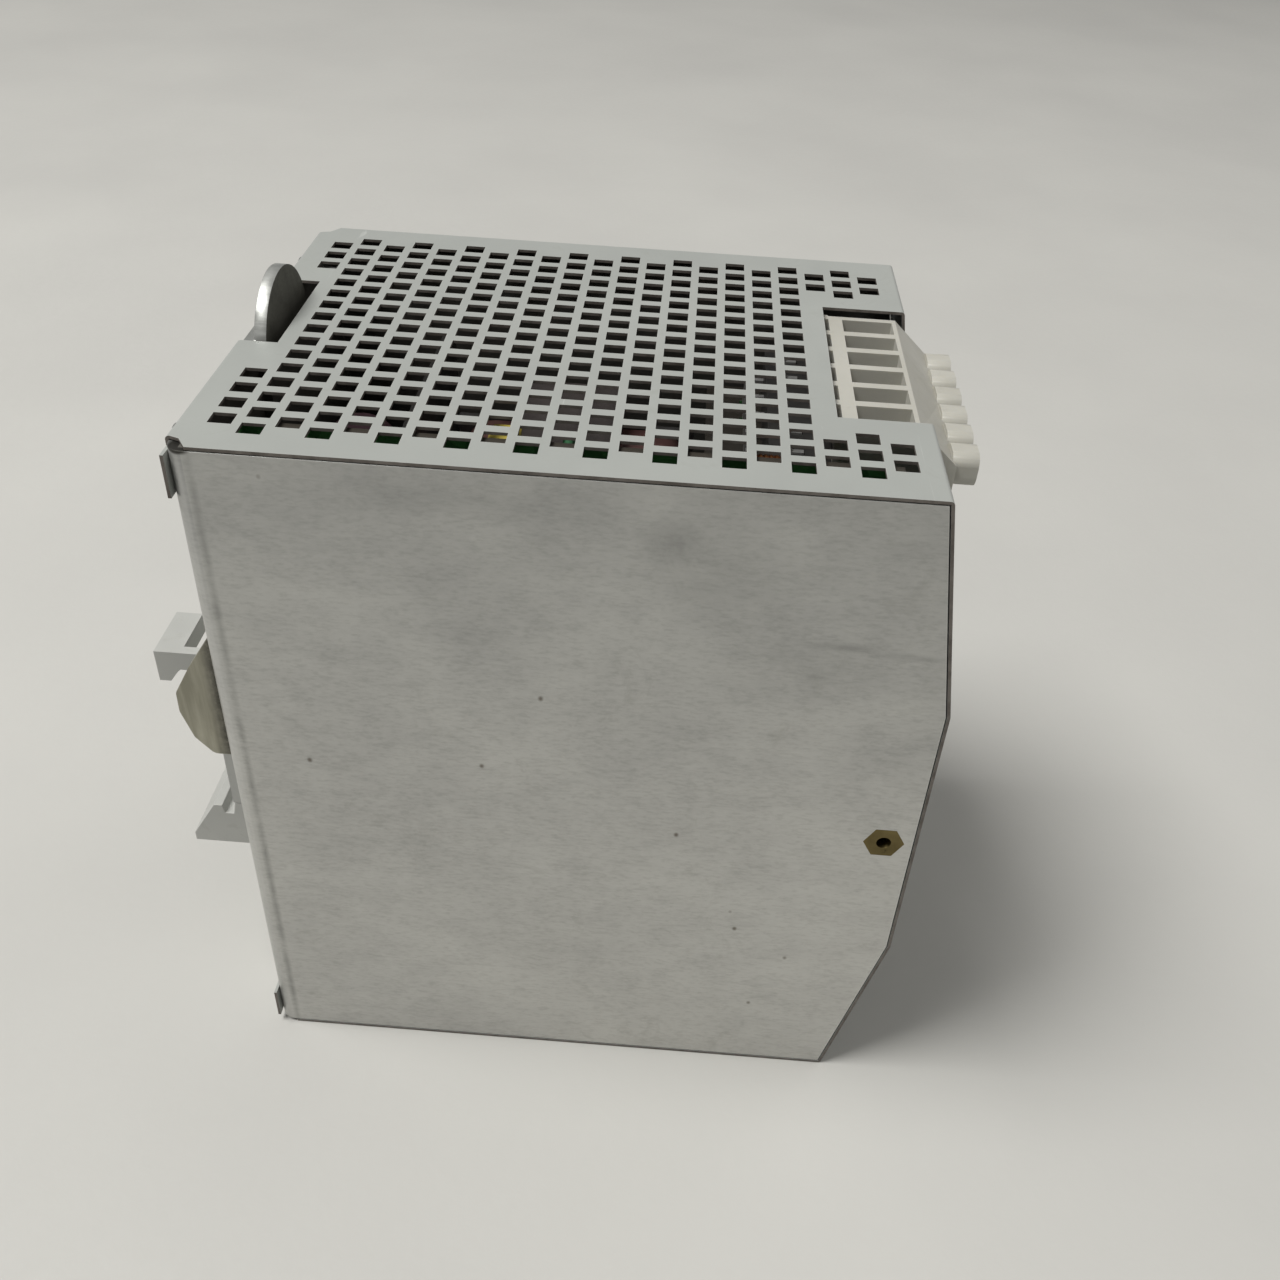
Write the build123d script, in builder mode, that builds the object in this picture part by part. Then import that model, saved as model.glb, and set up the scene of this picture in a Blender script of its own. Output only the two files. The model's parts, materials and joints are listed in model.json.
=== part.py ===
from build123d import *
import os
from math import cos, radians, sin

# DIN rail power supply, in millimetres.
# The origin is the centre of the face that rests on the rail. +Y points to the rail, +Z is up, and
# +X is to the right for someone who faces the front.

os.makedirs("parts", exist_ok=True)

# ---- driving dimensions -------------------------------------------------------------------------

RAIL_HEIGHT = 35.0

# Case
CASE_WIDTH = 86.5
CASE_HEIGHT = 130.0
CASE_BOTTOM_Z = -58.5
FRONT_FLAT_Y = -124.4
FRONT_TOP_Y = -117.5
FRONT_BOTTOM_Y = -116.6
UPPER_KINK_Z = 33.3
LOWER_KINK_Z = -21.8
WALL_Y = -8.7
COVER_SHEET = 0.5
CHASSIS_SHEET = 2.0
SHEET_GAP = 0.2

CASE_TOP_Z = CASE_BOTTOM_Z + CASE_HEIGHT
CASE_MIDDLE_Z = CASE_BOTTOM_Z + CASE_HEIGHT / 2
SIDE_X = CASE_WIDTH / 2
INNER_X = SIDE_X - CHASSIS_SHEET
LIP_HEIGHT = 8.5
COVER_RELIEF_Y = 3.7
COVER_RELIEF_X = 2.8
COVER_RELIEF_DEPTH = 1.6
CHASSIS_BEND_RADIUS = 2.5
COVER_BEND_RADIUS = COVER_SHEET + SHEET_GAP

# Perforation of the cover
HOLE_LONG = 3.5
HOLE_SHORT = 3.1
COLUMN_PITCH = 4.88
ROW_PITCH = 4.91
COLUMNS = 21
ROWS = 16
FIRST_COLUMN_Y = -14.35

# Air slots in the cover's bottom
AIR_SLOTS_X = 3
AIR_SLOTS_Y = 9
AIR_SLOT_LENGTH = 20.0
AIR_SLOT_WIDTH = 3.1
AIR_SLOT_PITCH_X = 25.0
AIR_SLOT_PITCH_Y = 8.0

# Rounded tongue of the chassis, and its notch in the cover
TONGUE_RADIUS = 11.9
TONGUE_X = 4.1
TONGUE_CENTRE_Z = 66.6
TONGUE_OVERLAP = 0.3
TONGUE_NOTCH_WIDTH = 25.5
TONGUE_NOTCH_Y = -14.8

# Terminals. Depths are measured inwards from the case's top or bottom face.
POLE_PITCH = 6.55
OUTPUT_POLES = 6
INPUT_POLES = 3
PLUG_NOTCH_Y = -103.0
PLUG_NOTCH_SIDE_GAP = 0.7
PLUG_NOTCH_DEPTH = 16.1
PLUG_END_WALL = 0.45
PLUG_FACE_DEPTH = 1.3
PLUG_FLOOR_DEPTH = 15.0
PLUG_BACK_Y = -104.1
PLUG_SLOPE_TOP_Y = -115.9
PLUG_SLOPE_FOOT_Y = -122.4
PLUG_SLOPE_FOOT_DEPTH = 7.3
PLUG_TONGUE_BACK_Y = -96.5
PLUG_TONGUE_TOP_DEPTH = 10.6
PLUG_TONGUE_FLOOR_DEPTH = 15.4
PLUG_TONGUE_INSET = 1.2
BARREL_FRONT_Y = -126.0
SCREW_DEPTH = 8.8
BARREL_HEIGHT = 5.6
BARREL_WIDTH = 6.0
WINDOW_WIDTH = 4.9
WINDOW_FRONT_Y = -115.2
WINDOW_BACK_Y = -106.5
CHAMBER_FRONT_Y = -120.2
CHAMBER_TOP_DEPTH = 5.9
CHAMBER_FLOOR_DEPTH = 12.1
TERMINAL_SCREW_RADIUS = 1.45
TERMINAL_HEAD_RADIUS = 2.0
TERMINAL_HEAD_LENGTH = 1.9
TERMINAL_HEAD_FRONT_Y = -125.0
TERMINAL_SCREW_TIP_Y = -113.6
CLAMP_FRONT_Y = -118.5
CLAMP_HALF_HEIGHT = 2.7
CLAMP_BACK_Y = -109.0
CLAMP_WALL = 0.9
CLAMP_PLAY = 0.1
PIN = 1.0
PIN_DEPTH = 13.0
PIN_BEND_Y = -91.0
BOARD = 1.6
HEADER_TOP_DEPTH = 8.9
TERMINAL_BOARD_DEPTH = 17.5
TERMINAL_BOARD_FRONT_Y = -116.0
TERMINAL_BOARD_BACK_Y = -84.0

# Rail adapter
ADAPTER_WIDTH = 54.0
HOOK_WIDTH = 11.5
HOOK_TOP_Z = 21.2
HOOK_BACK_Y = 8.1
HOOK_LIP_Z = 14.8
HOOK_LIP_FRONT_Y = 4.6
SEAT_STEP = 0.4
LATCH_TONGUE_WIDTH = 18.0
LATCH_FOOT_BOTTOM_Z = -25.6

# Fasteners
SCREW_RADIUS = 1.5
SCREW_HEAD_RADIUS = 2.8
SCREW_HEAD_HEIGHT = 1.8
SCREW_CLEARANCE = 0.1

# Main board
MAIN_BOARD_X = -34.5
MAIN_BOARD_FRONT_Y = -112.0
MAIN_BOARD_BACK_Y = -15.5
MAIN_BOARD_BOTTOM_Z = -56.0
MAIN_BOARD_TOP_Z = 70.6
COMPONENT_X = MAIN_BOARD_X + BOARD


# ---- helpers ------------------------------------------------------------------------------------


def write(builder, name):
    """Label a finished piece and write it as its own STEP file."""
    builder.part.label = name
    export_step(builder.part, f"parts/{name}.step")


def level(end, depth):
    """Height of a point this deep inside the case, from its top (end 1) or its bottom (end -1)."""
    return CASE_MIDDLE_Z + end * (CASE_HEIGHT / 2 - depth)


def span(low, high):
    """Centre and length of the stretch between two values."""
    return (low + high) / 2, abs(high - low)


def block(x, y, z, mode=Mode.ADD):
    """Box between two x, two y and two z values, in the builder that is open."""
    (cx, lx), (cy, ly), (cz, lz) = span(*x), span(*y), span(*z)
    with Locations((cx, cy, cz)):
        Box(lx, ly, lz, mode=mode)


def rod(x, y, z, radius, mode=Mode.ADD):
    """Cylinder along Y between two y values, in the builder that is open."""
    cy, ly = span(*y)
    with Locations((x, cy, z)):
        Cylinder(radius, ly, rotation=(90, 0, 0), mode=mode)


def peg(x, y, z, radius, mode=Mode.ADD):
    """Cylinder along X between two x values, in the builder that is open."""
    cx, lx = span(*x)
    with Locations((cx, y, z)):
        Cylinder(radius, lx, rotation=(0, 90, 0), mode=mode)


def case_outline(rear_y):
    """Corner points (y, z) of the case's side view, closed at rear_y."""
    return [
        (rear_y, CASE_TOP_Z),
        (FRONT_TOP_Y, CASE_TOP_Z),
        (FRONT_FLAT_Y, UPPER_KINK_Z),
        (FRONT_FLAT_Y, LOWER_KINK_Z),
        (FRONT_BOTTOM_Y, CASE_BOTTOM_Z),
        (rear_y, CASE_BOTTOM_Z),
    ]


def pole_positions(poles):
    """X of each terminal, left to right."""
    return [(i - (poles - 1) / 2) * POLE_PITCH for i in range(poles)]


def plug_half_width(poles):
    """Half the width of a plug, end walls included."""
    return poles * POLE_PITCH / 2 + PLUG_END_WALL


def perforation(keep):
    """Centres (x, y) of the staggered holes that keep(column, x, y) accepts."""
    centres = []
    for column in range(COLUMNS):
        count = ROWS if column % 2 else ROWS - 1
        y = FIRST_COLUMN_Y - column * COLUMN_PITCH
        for row in range(count):
            x = (row - (count - 1) / 2) * ROW_PITCH
            if keep(column, x, y):
                centres.append((x, y))
    return centres


# ---- case ---------------------------------------------------------------------------------------

COVER_SCREW_X = 33.0
COVER_SCREW_DEPTH = 5.2
ADAPTER_SCREW_X = 20.0
ADAPTER_SCREW_Z = 9.5
EAR_SCREW_X = -33.5
EAR_SCREW_Z = (15.5, 27.5)
INSERT_Y = -118.8
INSERT_Z = 4.9
INSERT_ACROSS_FLATS = 6.0
INSERT_LENGTH = 8.0
INSERT_THREAD_DEPTH = 6.5
INSERT_THREAD_RADIUS = 1.25
LAMP_X = -10.0
TRIMMER_X = 8.0
INDICATOR_DEPTH = 23.0
LAMP_HOLE_RADIUS = 1.7
TRIMMER_HOLE_RADIUS = 2.3

cover_screw_points = [
    (x, level(end, COVER_SCREW_DEPTH)) for end in (1, -1) for x in (-COVER_SCREW_X, COVER_SCREW_X)
]
adapter_screw_points = [
    (x, z)
    for z in (-ADAPTER_SCREW_Z, ADAPTER_SCREW_Z)
    for x in (-ADAPTER_SCREW_X, ADAPTER_SCREW_X)
]
ear_screw_points = [(EAR_SCREW_X, z) for z in EAR_SCREW_Z]

with BuildPart() as chassis:
    # U-shaped sheet seen from above: left side, rear wall, right side.
    with BuildSketch(Plane.XY.offset(CASE_BOTTOM_Z)):
        with BuildLine():
            Polyline(
                (-SIDE_X, FRONT_FLAT_Y),
                (-SIDE_X, WALL_Y),
                (SIDE_X, WALL_Y),
                (SIDE_X, FRONT_FLAT_Y),
                close=True,
            )
        make_face()
        fillet(vertices().group_by(Axis.Y)[-1], CHASSIS_BEND_RADIUS)
        offset(amount=-CHASSIS_SHEET, mode=Mode.SUBTRACT)
        with Locations((0, FRONT_FLAT_Y)):
            Rectangle(2 * INNER_X, 4 * CHASSIS_SHEET, mode=Mode.SUBTRACT)
    extrude(amount=CASE_HEIGHT)
    # The sides follow the bulged front, just inside the cover.
    with BuildSketch(Plane.YZ):
        with BuildLine():
            Polyline(*case_outline(WALL_Y + 2 * CHASSIS_SHEET), close=True)
        make_face()
        offset(amount=-COVER_SHEET - SHEET_GAP, kind=Kind.INTERSECTION)
    extrude(amount=CASE_WIDTH, both=True, mode=Mode.INTERSECT)
    # Rounded tongue that stands up behind the top, welded to the wall's inner face.
    with BuildSketch(Plane.XZ.offset(CHASSIS_SHEET - TONGUE_OVERLAP - WALL_Y)):
        with Locations((TONGUE_X, TONGUE_CENTRE_Z)):
            Circle(TONGUE_RADIUS)
        with Locations((TONGUE_X, TONGUE_CENTRE_Z - TONGUE_RADIUS)):
            Rectangle(2 * TONGUE_RADIUS, 2 * TONGUE_RADIUS)
    extrude(amount=CHASSIS_SHEET)
    # Screw holes in the rear wall.
    with BuildSketch(Plane.XZ.offset(-WALL_Y - 1)):
        with Locations(*cover_screw_points, *adapter_screw_points, *ear_screw_points):
            Circle(SCREW_RADIUS + SCREW_CLEARANCE)
    extrude(amount=2 + CHASSIS_SHEET, mode=Mode.SUBTRACT)
    # Hexagon hole for the insert.
    with BuildSketch(Plane.YZ.offset(-SIDE_X - 1)):
        with Locations((INSERT_Y, INSERT_Z)):
            RegularPolygon(INSERT_ACROSS_FLATS / 2, 6, major_radius=False)
    extrude(amount=2 + CHASSIS_SHEET, mode=Mode.SUBTRACT)
write(chassis, "chassis")


def in_top_field(column, x, y):
    """Top holes: none across the tongue's notch, and only the outer rows beside the plug."""
    if column == 0:
        return abs(x - TONGUE_X) > TONGUE_NOTCH_WIDTH / 2 + 2 * HOLE_LONG
    if y < PLUG_NOTCH_Y + HOLE_LONG:
        return abs(x) > plug_half_width(OUTPUT_POLES) + PLUG_NOTCH_SIDE_GAP + ROW_PITCH
    return True


relief_front_y = WALL_Y + COVER_SHEET - COVER_RELIEF_Y

with BuildPart() as wrap_cover:
    # One sheet, seen from the side: rear lip, top, three front facets, bottom, rear lip.
    with BuildSketch(Plane.YZ):
        with BuildLine():
            Polyline(*case_outline(WALL_Y + COVER_SHEET), close=True)
        make_face()
        fillet(vertices(), COVER_BEND_RADIUS)
        offset(amount=-COVER_SHEET, mode=Mode.SUBTRACT)
        with Locations((WALL_Y, CASE_MIDDLE_Z)):
            Rectangle(4 * COVER_SHEET, CASE_HEIGHT - 2 * LIP_HEIGHT, mode=Mode.SUBTRACT)
    extrude(amount=SIDE_X, both=True)
    for end, poles in ((1, OUTPUT_POLES), (-1, INPUT_POLES)):
        # Notch for the plug, through the edge and down the front.
        notch_half = plug_half_width(poles) + PLUG_NOTCH_SIDE_GAP
        block(
            (-notch_half, notch_half),
            (PLUG_NOTCH_Y, BARREL_FRONT_Y),
            (level(end, PLUG_NOTCH_DEPTH), level(end, -1)),
            Mode.SUBTRACT,
        )
        # Slanted corner reliefs in the bends above and below the lips.
        with BuildSketch(Plane.XY.offset(level(end, -1))):
            for side in (-1, 1):
                Polygon(
                    (side * (SIDE_X + 1), relief_front_y),
                    (side * SIDE_X, relief_front_y),
                    (side * (SIDE_X - 0.8 * COVER_RELIEF_X), relief_front_y + 0.4 * COVER_RELIEF_Y),
                    (side * (SIDE_X - COVER_RELIEF_X), relief_front_y + 0.8 * COVER_RELIEF_Y),
                    (side * (SIDE_X - COVER_RELIEF_X), WALL_Y + 2),
                    (side * (SIDE_X + 1), WALL_Y + 2),
                    align=None,
                )
        extrude(amount=-end * (COVER_RELIEF_DEPTH + 1), mode=Mode.SUBTRACT)
    # Notch for the chassis tongue.
    block(
        (TONGUE_X - TONGUE_NOTCH_WIDTH / 2, TONGUE_X + TONGUE_NOTCH_WIDTH / 2),
        (TONGUE_NOTCH_Y, WALL_Y + 2),
        (CASE_TOP_Z - LIP_HEIGHT - 1, CASE_TOP_Z + 1),
        Mode.SUBTRACT,
    )
    # Screw holes in the lips.
    with BuildSketch(Plane.XZ.offset(-WALL_Y)):
        with Locations(*cover_screw_points):
            Circle(SCREW_RADIUS + SCREW_CLEARANCE)
    extrude(amount=-2 * COVER_SHEET, mode=Mode.SUBTRACT)
    # Front openings for the lamp and the trimmer.
    for x, radius in ((LAMP_X, LAMP_HOLE_RADIUS), (TRIMMER_X, TRIMMER_HOLE_RADIUS)):
        front_y = (FRONT_FLAT_Y - 1, FRONT_TOP_Y + 2)
        rod(x, front_y, level(1, INDICATOR_DEPTH), radius, Mode.SUBTRACT)
    # Air slots in the bottom.
    with BuildSketch(Plane.XY.offset(CASE_BOTTOM_Z - 1)):
        with Locations((0, (PLUG_NOTCH_Y + WALL_Y) / 2)):
            with GridLocations(AIR_SLOT_PITCH_X, AIR_SLOT_PITCH_Y, AIR_SLOTS_X, AIR_SLOTS_Y):
                SlotOverall(AIR_SLOT_LENGTH, AIR_SLOT_WIDTH)
    extrude(amount=COVER_SHEET + 2, mode=Mode.SUBTRACT)
    # Perforation of the top.
    with BuildSketch(Plane.XY.offset(CASE_TOP_Z - 2 * COVER_SHEET)):
        with Locations(*perforation(in_top_field)):
            Rectangle(HOLE_SHORT, HOLE_LONG)
    extrude(amount=3 * COVER_SHEET, mode=Mode.SUBTRACT, clean=False)
write(wrap_cover, "wrap_cover")

with BuildPart() as side_insert:
    with BuildSketch(Plane.YZ.offset(-SIDE_X)):
        with Locations((INSERT_Y, INSERT_Z)):
            RegularPolygon(INSERT_ACROSS_FLATS / 2, 6, major_radius=False)
    extrude(amount=INSERT_LENGTH)
    thread_x = (-SIDE_X, -SIDE_X + INSERT_THREAD_DEPTH)
    peg(thread_x, INSERT_Y, INSERT_Z, INSERT_THREAD_RADIUS, Mode.SUBTRACT)
write(side_insert, "side_insert")

# ---- rear: ear bracket, rail adapter, latch and their screws ------------------------------------

EAR_SHEET = 1.5
EAR_X = -40.3
EAR_TOP_Z = 36.5
EAR_BOTTOM_Z = 11.0
EAR_OUTLINE = [(-4.1, 29.4), (-1.1, 23.9), (-1.0, 19.9), (-2.6, 14.4), (-5.4, EAR_BOTTOM_Z)]
EAR_CORNER_RADIUS = 1.6
EAR_LEG_END_X = -29.0
EAR_LEG_Z = (12.0, 31.0)

with BuildPart() as side_ear_bracket:
    # Rounded ear that stands out of the rear wall.
    with BuildSketch(Plane.YZ.offset(EAR_X)):
        with BuildLine():
            Polyline((WALL_Y, EAR_TOP_Z), *EAR_OUTLINE, (WALL_Y, EAR_BOTTOM_Z), close=True)
        make_face()
        fillet(vertices().filter_by_position(Axis.X, WALL_Y + 1, 0), EAR_CORNER_RADIUS)
    extrude(amount=EAR_SHEET)
    # Leg that is screwed to the wall.
    with BuildSketch(Plane.XZ.offset(-WALL_Y)):
        leg_z, leg_height = span(*EAR_LEG_Z)
        with Locations(((EAR_X + EAR_LEG_END_X) / 2, leg_z)):
            Rectangle(EAR_LEG_END_X - EAR_X, leg_height)
        with Locations(*ear_screw_points):
            Circle(SCREW_RADIUS + SCREW_CLEARANCE, mode=Mode.SUBTRACT)
    extrude(amount=-EAR_SHEET)
write(side_ear_bracket, "side_ear_bracket")

ADAPTER_BOTTOM_Z = -23.0
ADAPTER_CORNER_RADIUS = 1.0
HOOK_LIP_WIDTH = 2.0
HOOK_EDGE_CUT = 0.6
SEAT_HALF_WIDTH = 13.0
SEAT_HALF_HEIGHT = 12.0
HOOK_POCKET_X = 1.9
HOOK_POCKET_Y = (-7.8, 3.4)
HOOK_POCKET_DEPTH = 6.0
LATCH_SLOT_FRONT_Y = -7.2
LATCH_SLOT_BACK_Y = -2.6
LATCH_PLAY = 0.2
LATCH_SLOT_TOP_Z = 1.5
LATCH_WINDOW_HALF_WIDTH = 3.6
LATCH_WINDOW_TOP_Z = -2.0
LATCH_WINDOW_BOTTOM_Z = -19.5
SPRING_FOOT_Z = -13.0
SPRING_PEG_HEIGHT = 2.5
SPRING_PEG_HALF_WIDTH = 3.0
SPRING_PLAY = 0.05
SPRING_RADIUS = 1.6
SPRING_WIRE_RADIUS = 0.3
SPRING_TURNS = 7
ADAPTER_HEAD_Y = -3.6
HEAD_SEAT_RADIUS = SCREW_HEAD_RADIUS + 0.3
FOOT_SLOT_TOP_Z = -14.5
LATCH_RAMP_BACK_Y = 8.6
LATCH_RAMP_FOOT_Z = -23.7
LATCH_CATCH_TOP_Z = -15.6
LATCH_CATCH_Y = (2.0, 3.6)
LATCH_CATCH_LEAN = 0.4
SCREWDRIVER_SLOT_X = (-4.0, 4.0)
SCREWDRIVER_SLOT_Y = (1.5, 6.5)
SCREWDRIVER_SLOT_DEPTH = 1.6

spring_y = (LATCH_SLOT_FRONT_Y + LATCH_SLOT_BACK_Y) / 2

with BuildPart() as rail_adapter:
    # Block against the rear wall.
    block(
        (-ADAPTER_WIDTH / 2, ADAPTER_WIDTH / 2),
        (WALL_Y, -SEAT_STEP),
        (ADAPTER_BOTTOM_Z, HOOK_TOP_Z),
    )
    fillet(rail_adapter.part.edges().filter_by(Axis.Y), ADAPTER_CORNER_RADIUS)
    # Seat on the rail.
    block(
        (-SEAT_HALF_WIDTH, SEAT_HALF_WIDTH),
        (-SEAT_STEP, 0),
        (-SEAT_HALF_HEIGHT, SEAT_HALF_HEIGHT),
    )
    # Two hooks over the rail's upper edge.
    for side in (-1, 1):
        outer = side * ADAPTER_WIDTH / 2
        hook_inner = outer - side * HOOK_WIDTH
        with BuildSketch(Plane.YZ.offset(min(outer, hook_inner))):
            with BuildLine():
                Polyline(
                    (-SEAT_STEP, HOOK_TOP_Z),
                    (HOOK_BACK_Y, HOOK_TOP_Z),
                    (HOOK_BACK_Y, HOOK_LIP_Z),
                    (HOOK_BACK_Y - HOOK_LIP_WIDTH, HOOK_LIP_Z),
                    (HOOK_LIP_FRONT_Y, RAIL_HEIGHT / 2 - HOOK_EDGE_CUT),
                    (HOOK_LIP_FRONT_Y - HOOK_EDGE_CUT, RAIL_HEIGHT / 2),
                    (-SEAT_STEP, RAIL_HEIGHT / 2),
                    close=True,
                )
            make_face()
        extrude(amount=HOOK_WIDTH)
        # Moulding pocket in the hook's top.
        block(
            (outer - side * HOOK_POCKET_X, hook_inner),
            HOOK_POCKET_Y,
            (HOOK_TOP_Z - HOOK_POCKET_DEPTH, HOOK_TOP_Z),
            Mode.SUBTRACT,
        )
    # Slot for the latch's tongue, open at the front and at the foot.
    slot_half = LATCH_TONGUE_WIDTH / 2 + LATCH_PLAY
    block(
        (-slot_half, slot_half),
        (LATCH_SLOT_FRONT_Y, LATCH_SLOT_BACK_Y),
        (ADAPTER_BOTTOM_Z, LATCH_SLOT_TOP_Z),
        Mode.SUBTRACT,
    )
    # Space for the latch's foot below the rail.
    block(
        (-ADAPTER_WIDTH / 2, ADAPTER_WIDTH / 2),
        (LATCH_SLOT_FRONT_Y, -SEAT_STEP),
        (ADAPTER_BOTTOM_Z, FOOT_SLOT_TOP_Z),
        Mode.SUBTRACT,
    )
    # Peg that carries the spring, inside the latch's window.
    block(
        (-SPRING_PEG_HALF_WIDTH, SPRING_PEG_HALF_WIDTH),
        (LATCH_SLOT_FRONT_Y, LATCH_SLOT_BACK_Y),
        (SPRING_FOOT_Z - SPRING_PEG_HEIGHT, SPRING_FOOT_Z),
    )
    # Countersunk seats and holes for the four screws.
    for x, z in adapter_screw_points:
        rod(x, (WALL_Y, 0), z, SCREW_RADIUS + SCREW_CLEARANCE, Mode.SUBTRACT)
        rod(x, (ADAPTER_HEAD_Y - SCREW_HEAD_HEIGHT, 0), z, HEAD_SEAT_RADIUS, Mode.SUBTRACT)
write(rail_adapter, "rail_adapter")

with BuildPart() as rail_latch:
    # Tongue in the adapter's slot.
    block(
        (-LATCH_TONGUE_WIDTH / 2, LATCH_TONGUE_WIDTH / 2),
        (LATCH_SLOT_FRONT_Y + LATCH_PLAY, LATCH_SLOT_BACK_Y - LATCH_PLAY),
        (LATCH_FOOT_BOTTOM_Z, LATCH_SLOT_TOP_Z - LATCH_PLAY),
    )
    # Foot with the ramp that rides over the rail's lower edge.
    foot_top = FOOT_SLOT_TOP_Z - LATCH_PLAY
    with BuildSketch(Plane.YZ):
        with BuildLine():
            Polyline(
                (LATCH_SLOT_FRONT_Y + LATCH_PLAY, LATCH_FOOT_BOTTOM_Z),
                (LATCH_RAMP_BACK_Y, LATCH_FOOT_BOTTOM_Z),
                (LATCH_RAMP_BACK_Y, LATCH_RAMP_FOOT_Z),
                (LATCH_CATCH_Y[1], LATCH_CATCH_TOP_Z),
                (LATCH_CATCH_Y[0], LATCH_CATCH_TOP_Z),
                (LATCH_CATCH_Y[0] - LATCH_CATCH_LEAN, -RAIL_HEIGHT / 2),
                (0.0, -RAIL_HEIGHT / 2),
                (-SEAT_STEP - LATCH_PLAY, foot_top),
                (LATCH_SLOT_FRONT_Y + LATCH_PLAY, foot_top),
                close=True,
            )
        make_face()
    extrude(amount=ADAPTER_WIDTH / 2, both=True)
    # Window for the spring and its peg.
    block(
        (-LATCH_WINDOW_HALF_WIDTH, LATCH_WINDOW_HALF_WIDTH),
        (LATCH_SLOT_FRONT_Y, LATCH_SLOT_BACK_Y),
        (LATCH_WINDOW_BOTTOM_Z, LATCH_WINDOW_TOP_Z),
        Mode.SUBTRACT,
    )
    # Slot for a screwdriver in the foot.
    block(
        SCREWDRIVER_SLOT_X,
        SCREWDRIVER_SLOT_Y,
        (LATCH_FOOT_BOTTOM_Z, LATCH_FOOT_BOTTOM_Z + SCREWDRIVER_SLOT_DEPTH),
        Mode.SUBTRACT,
    )
write(rail_latch, "rail_latch")

with BuildPart() as latch_spring:
    spring_foot_z = SPRING_FOOT_Z + SPRING_WIRE_RADIUS + SPRING_PLAY
    spring_length = LATCH_WINDOW_TOP_Z - SPRING_WIRE_RADIUS - SPRING_PLAY - spring_foot_z
    with BuildLine(Plane.XY.offset(spring_foot_z)) as coil:
        Helix(
            pitch=spring_length / SPRING_TURNS,
            height=spring_length,
            radius=SPRING_RADIUS,
            center=(0, spring_y, 0),
        )
    with BuildSketch(Plane(origin=coil.line @ 0, z_dir=coil.line % 0)):
        Circle(SPRING_WIRE_RADIUS)
    sweep()
write(latch_spring, "latch_spring")


SHORT_SCREW_LENGTH = 6.0
ADAPTER_SCREW_LENGTH = 9.0
CROSS_HALF_LENGTH = 1.6
CROSS_HALF_WIDTH = 0.35
CROSS_DEPTH = 0.8


def rear_screw(x, z, head_y, length):
    """Pan head screw that points forwards, with a cross recess."""
    rod(x, (head_y - SCREW_HEAD_HEIGHT, head_y), z, SCREW_HEAD_RADIUS)
    rod(x, (head_y - SCREW_HEAD_HEIGHT - length, head_y - SCREW_HEAD_HEIGHT), z, SCREW_RADIUS)
    for half_x, half_z in (
        (CROSS_HALF_LENGTH, CROSS_HALF_WIDTH),
        (CROSS_HALF_WIDTH, CROSS_HALF_LENGTH),
    ):
        block(
            (x - half_x, x + half_x),
            (head_y - CROSS_DEPTH, head_y),
            (z - half_z, z + half_z),
            Mode.SUBTRACT,
        )


with BuildPart() as rear_screws:
    for x, z in cover_screw_points:
        rear_screw(x, z, WALL_Y + COVER_SHEET + SCREW_HEAD_HEIGHT, SHORT_SCREW_LENGTH)
    for x, z in adapter_screw_points:
        rear_screw(x, z, ADAPTER_HEAD_Y, ADAPTER_SCREW_LENGTH)
    for x, z in ear_screw_points:
        rear_screw(x, z, WALL_Y + EAR_SHEET + SCREW_HEAD_HEIGHT, SHORT_SCREW_LENGTH)
write(rear_screws, "rear_screws")

# ---- boards -------------------------------------------------------------------------------------

SPACER_ACROSS_FLATS = 5.5
SPACER_Y = (-106.0, -20.0)
SPACER_Z = (-50.0, 63.0)
INSULATOR_SHEET = 0.4
INSULATOR_INSET = 1.0
INSULATOR_HOLE_RADIUS = 3.6
BOARD_HOLE_RADIUS = 1.7
BOARD_SCREW_REACH = 4.0

spacer_points = [(y, z) for y in SPACER_Y for z in SPACER_Z]

with BuildPart() as main_board:
    block(
        (MAIN_BOARD_X, COMPONENT_X),
        (MAIN_BOARD_FRONT_Y, MAIN_BOARD_BACK_Y),
        (MAIN_BOARD_BOTTOM_Z, MAIN_BOARD_TOP_Z),
    )
    for y, z in spacer_points:
        peg((MAIN_BOARD_X, COMPONENT_X), y, z, BOARD_HOLE_RADIUS, Mode.SUBTRACT)
write(main_board, "main_board")

with BuildPart() as board_insulator:
    block(
        (-INNER_X, -INNER_X + INSULATOR_SHEET),
        (MAIN_BOARD_FRONT_Y + INSULATOR_INSET, MAIN_BOARD_BACK_Y - INSULATOR_INSET),
        (MAIN_BOARD_BOTTOM_Z + INSULATOR_INSET, MAIN_BOARD_TOP_Z - INSULATOR_INSET),
    )
    for y, z in spacer_points:
        peg((-INNER_X, MAIN_BOARD_X), y, z, INSULATOR_HOLE_RADIUS, Mode.SUBTRACT)
write(board_insulator, "board_insulator")

with BuildPart() as board_spacers:
    with BuildSketch(Plane.YZ.offset(-INNER_X)):
        with Locations(*spacer_points):
            RegularPolygon(SPACER_ACROSS_FLATS / 2, 6, major_radius=False)
            Circle(SCREW_RADIUS + SCREW_CLEARANCE, mode=Mode.SUBTRACT)
    extrude(amount=MAIN_BOARD_X + INNER_X)
write(board_spacers, "board_spacers")

with BuildPart() as board_screws:
    for y, z in spacer_points:
        peg((COMPONENT_X, COMPONENT_X + SCREW_HEAD_HEIGHT), y, z, SCREW_HEAD_RADIUS)
        peg((MAIN_BOARD_X - BOARD_SCREW_REACH, COMPONENT_X), y, z, SCREW_RADIUS)
write(board_screws, "board_screws")


TERMINAL_BOARD_MARGIN = 3.0


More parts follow.
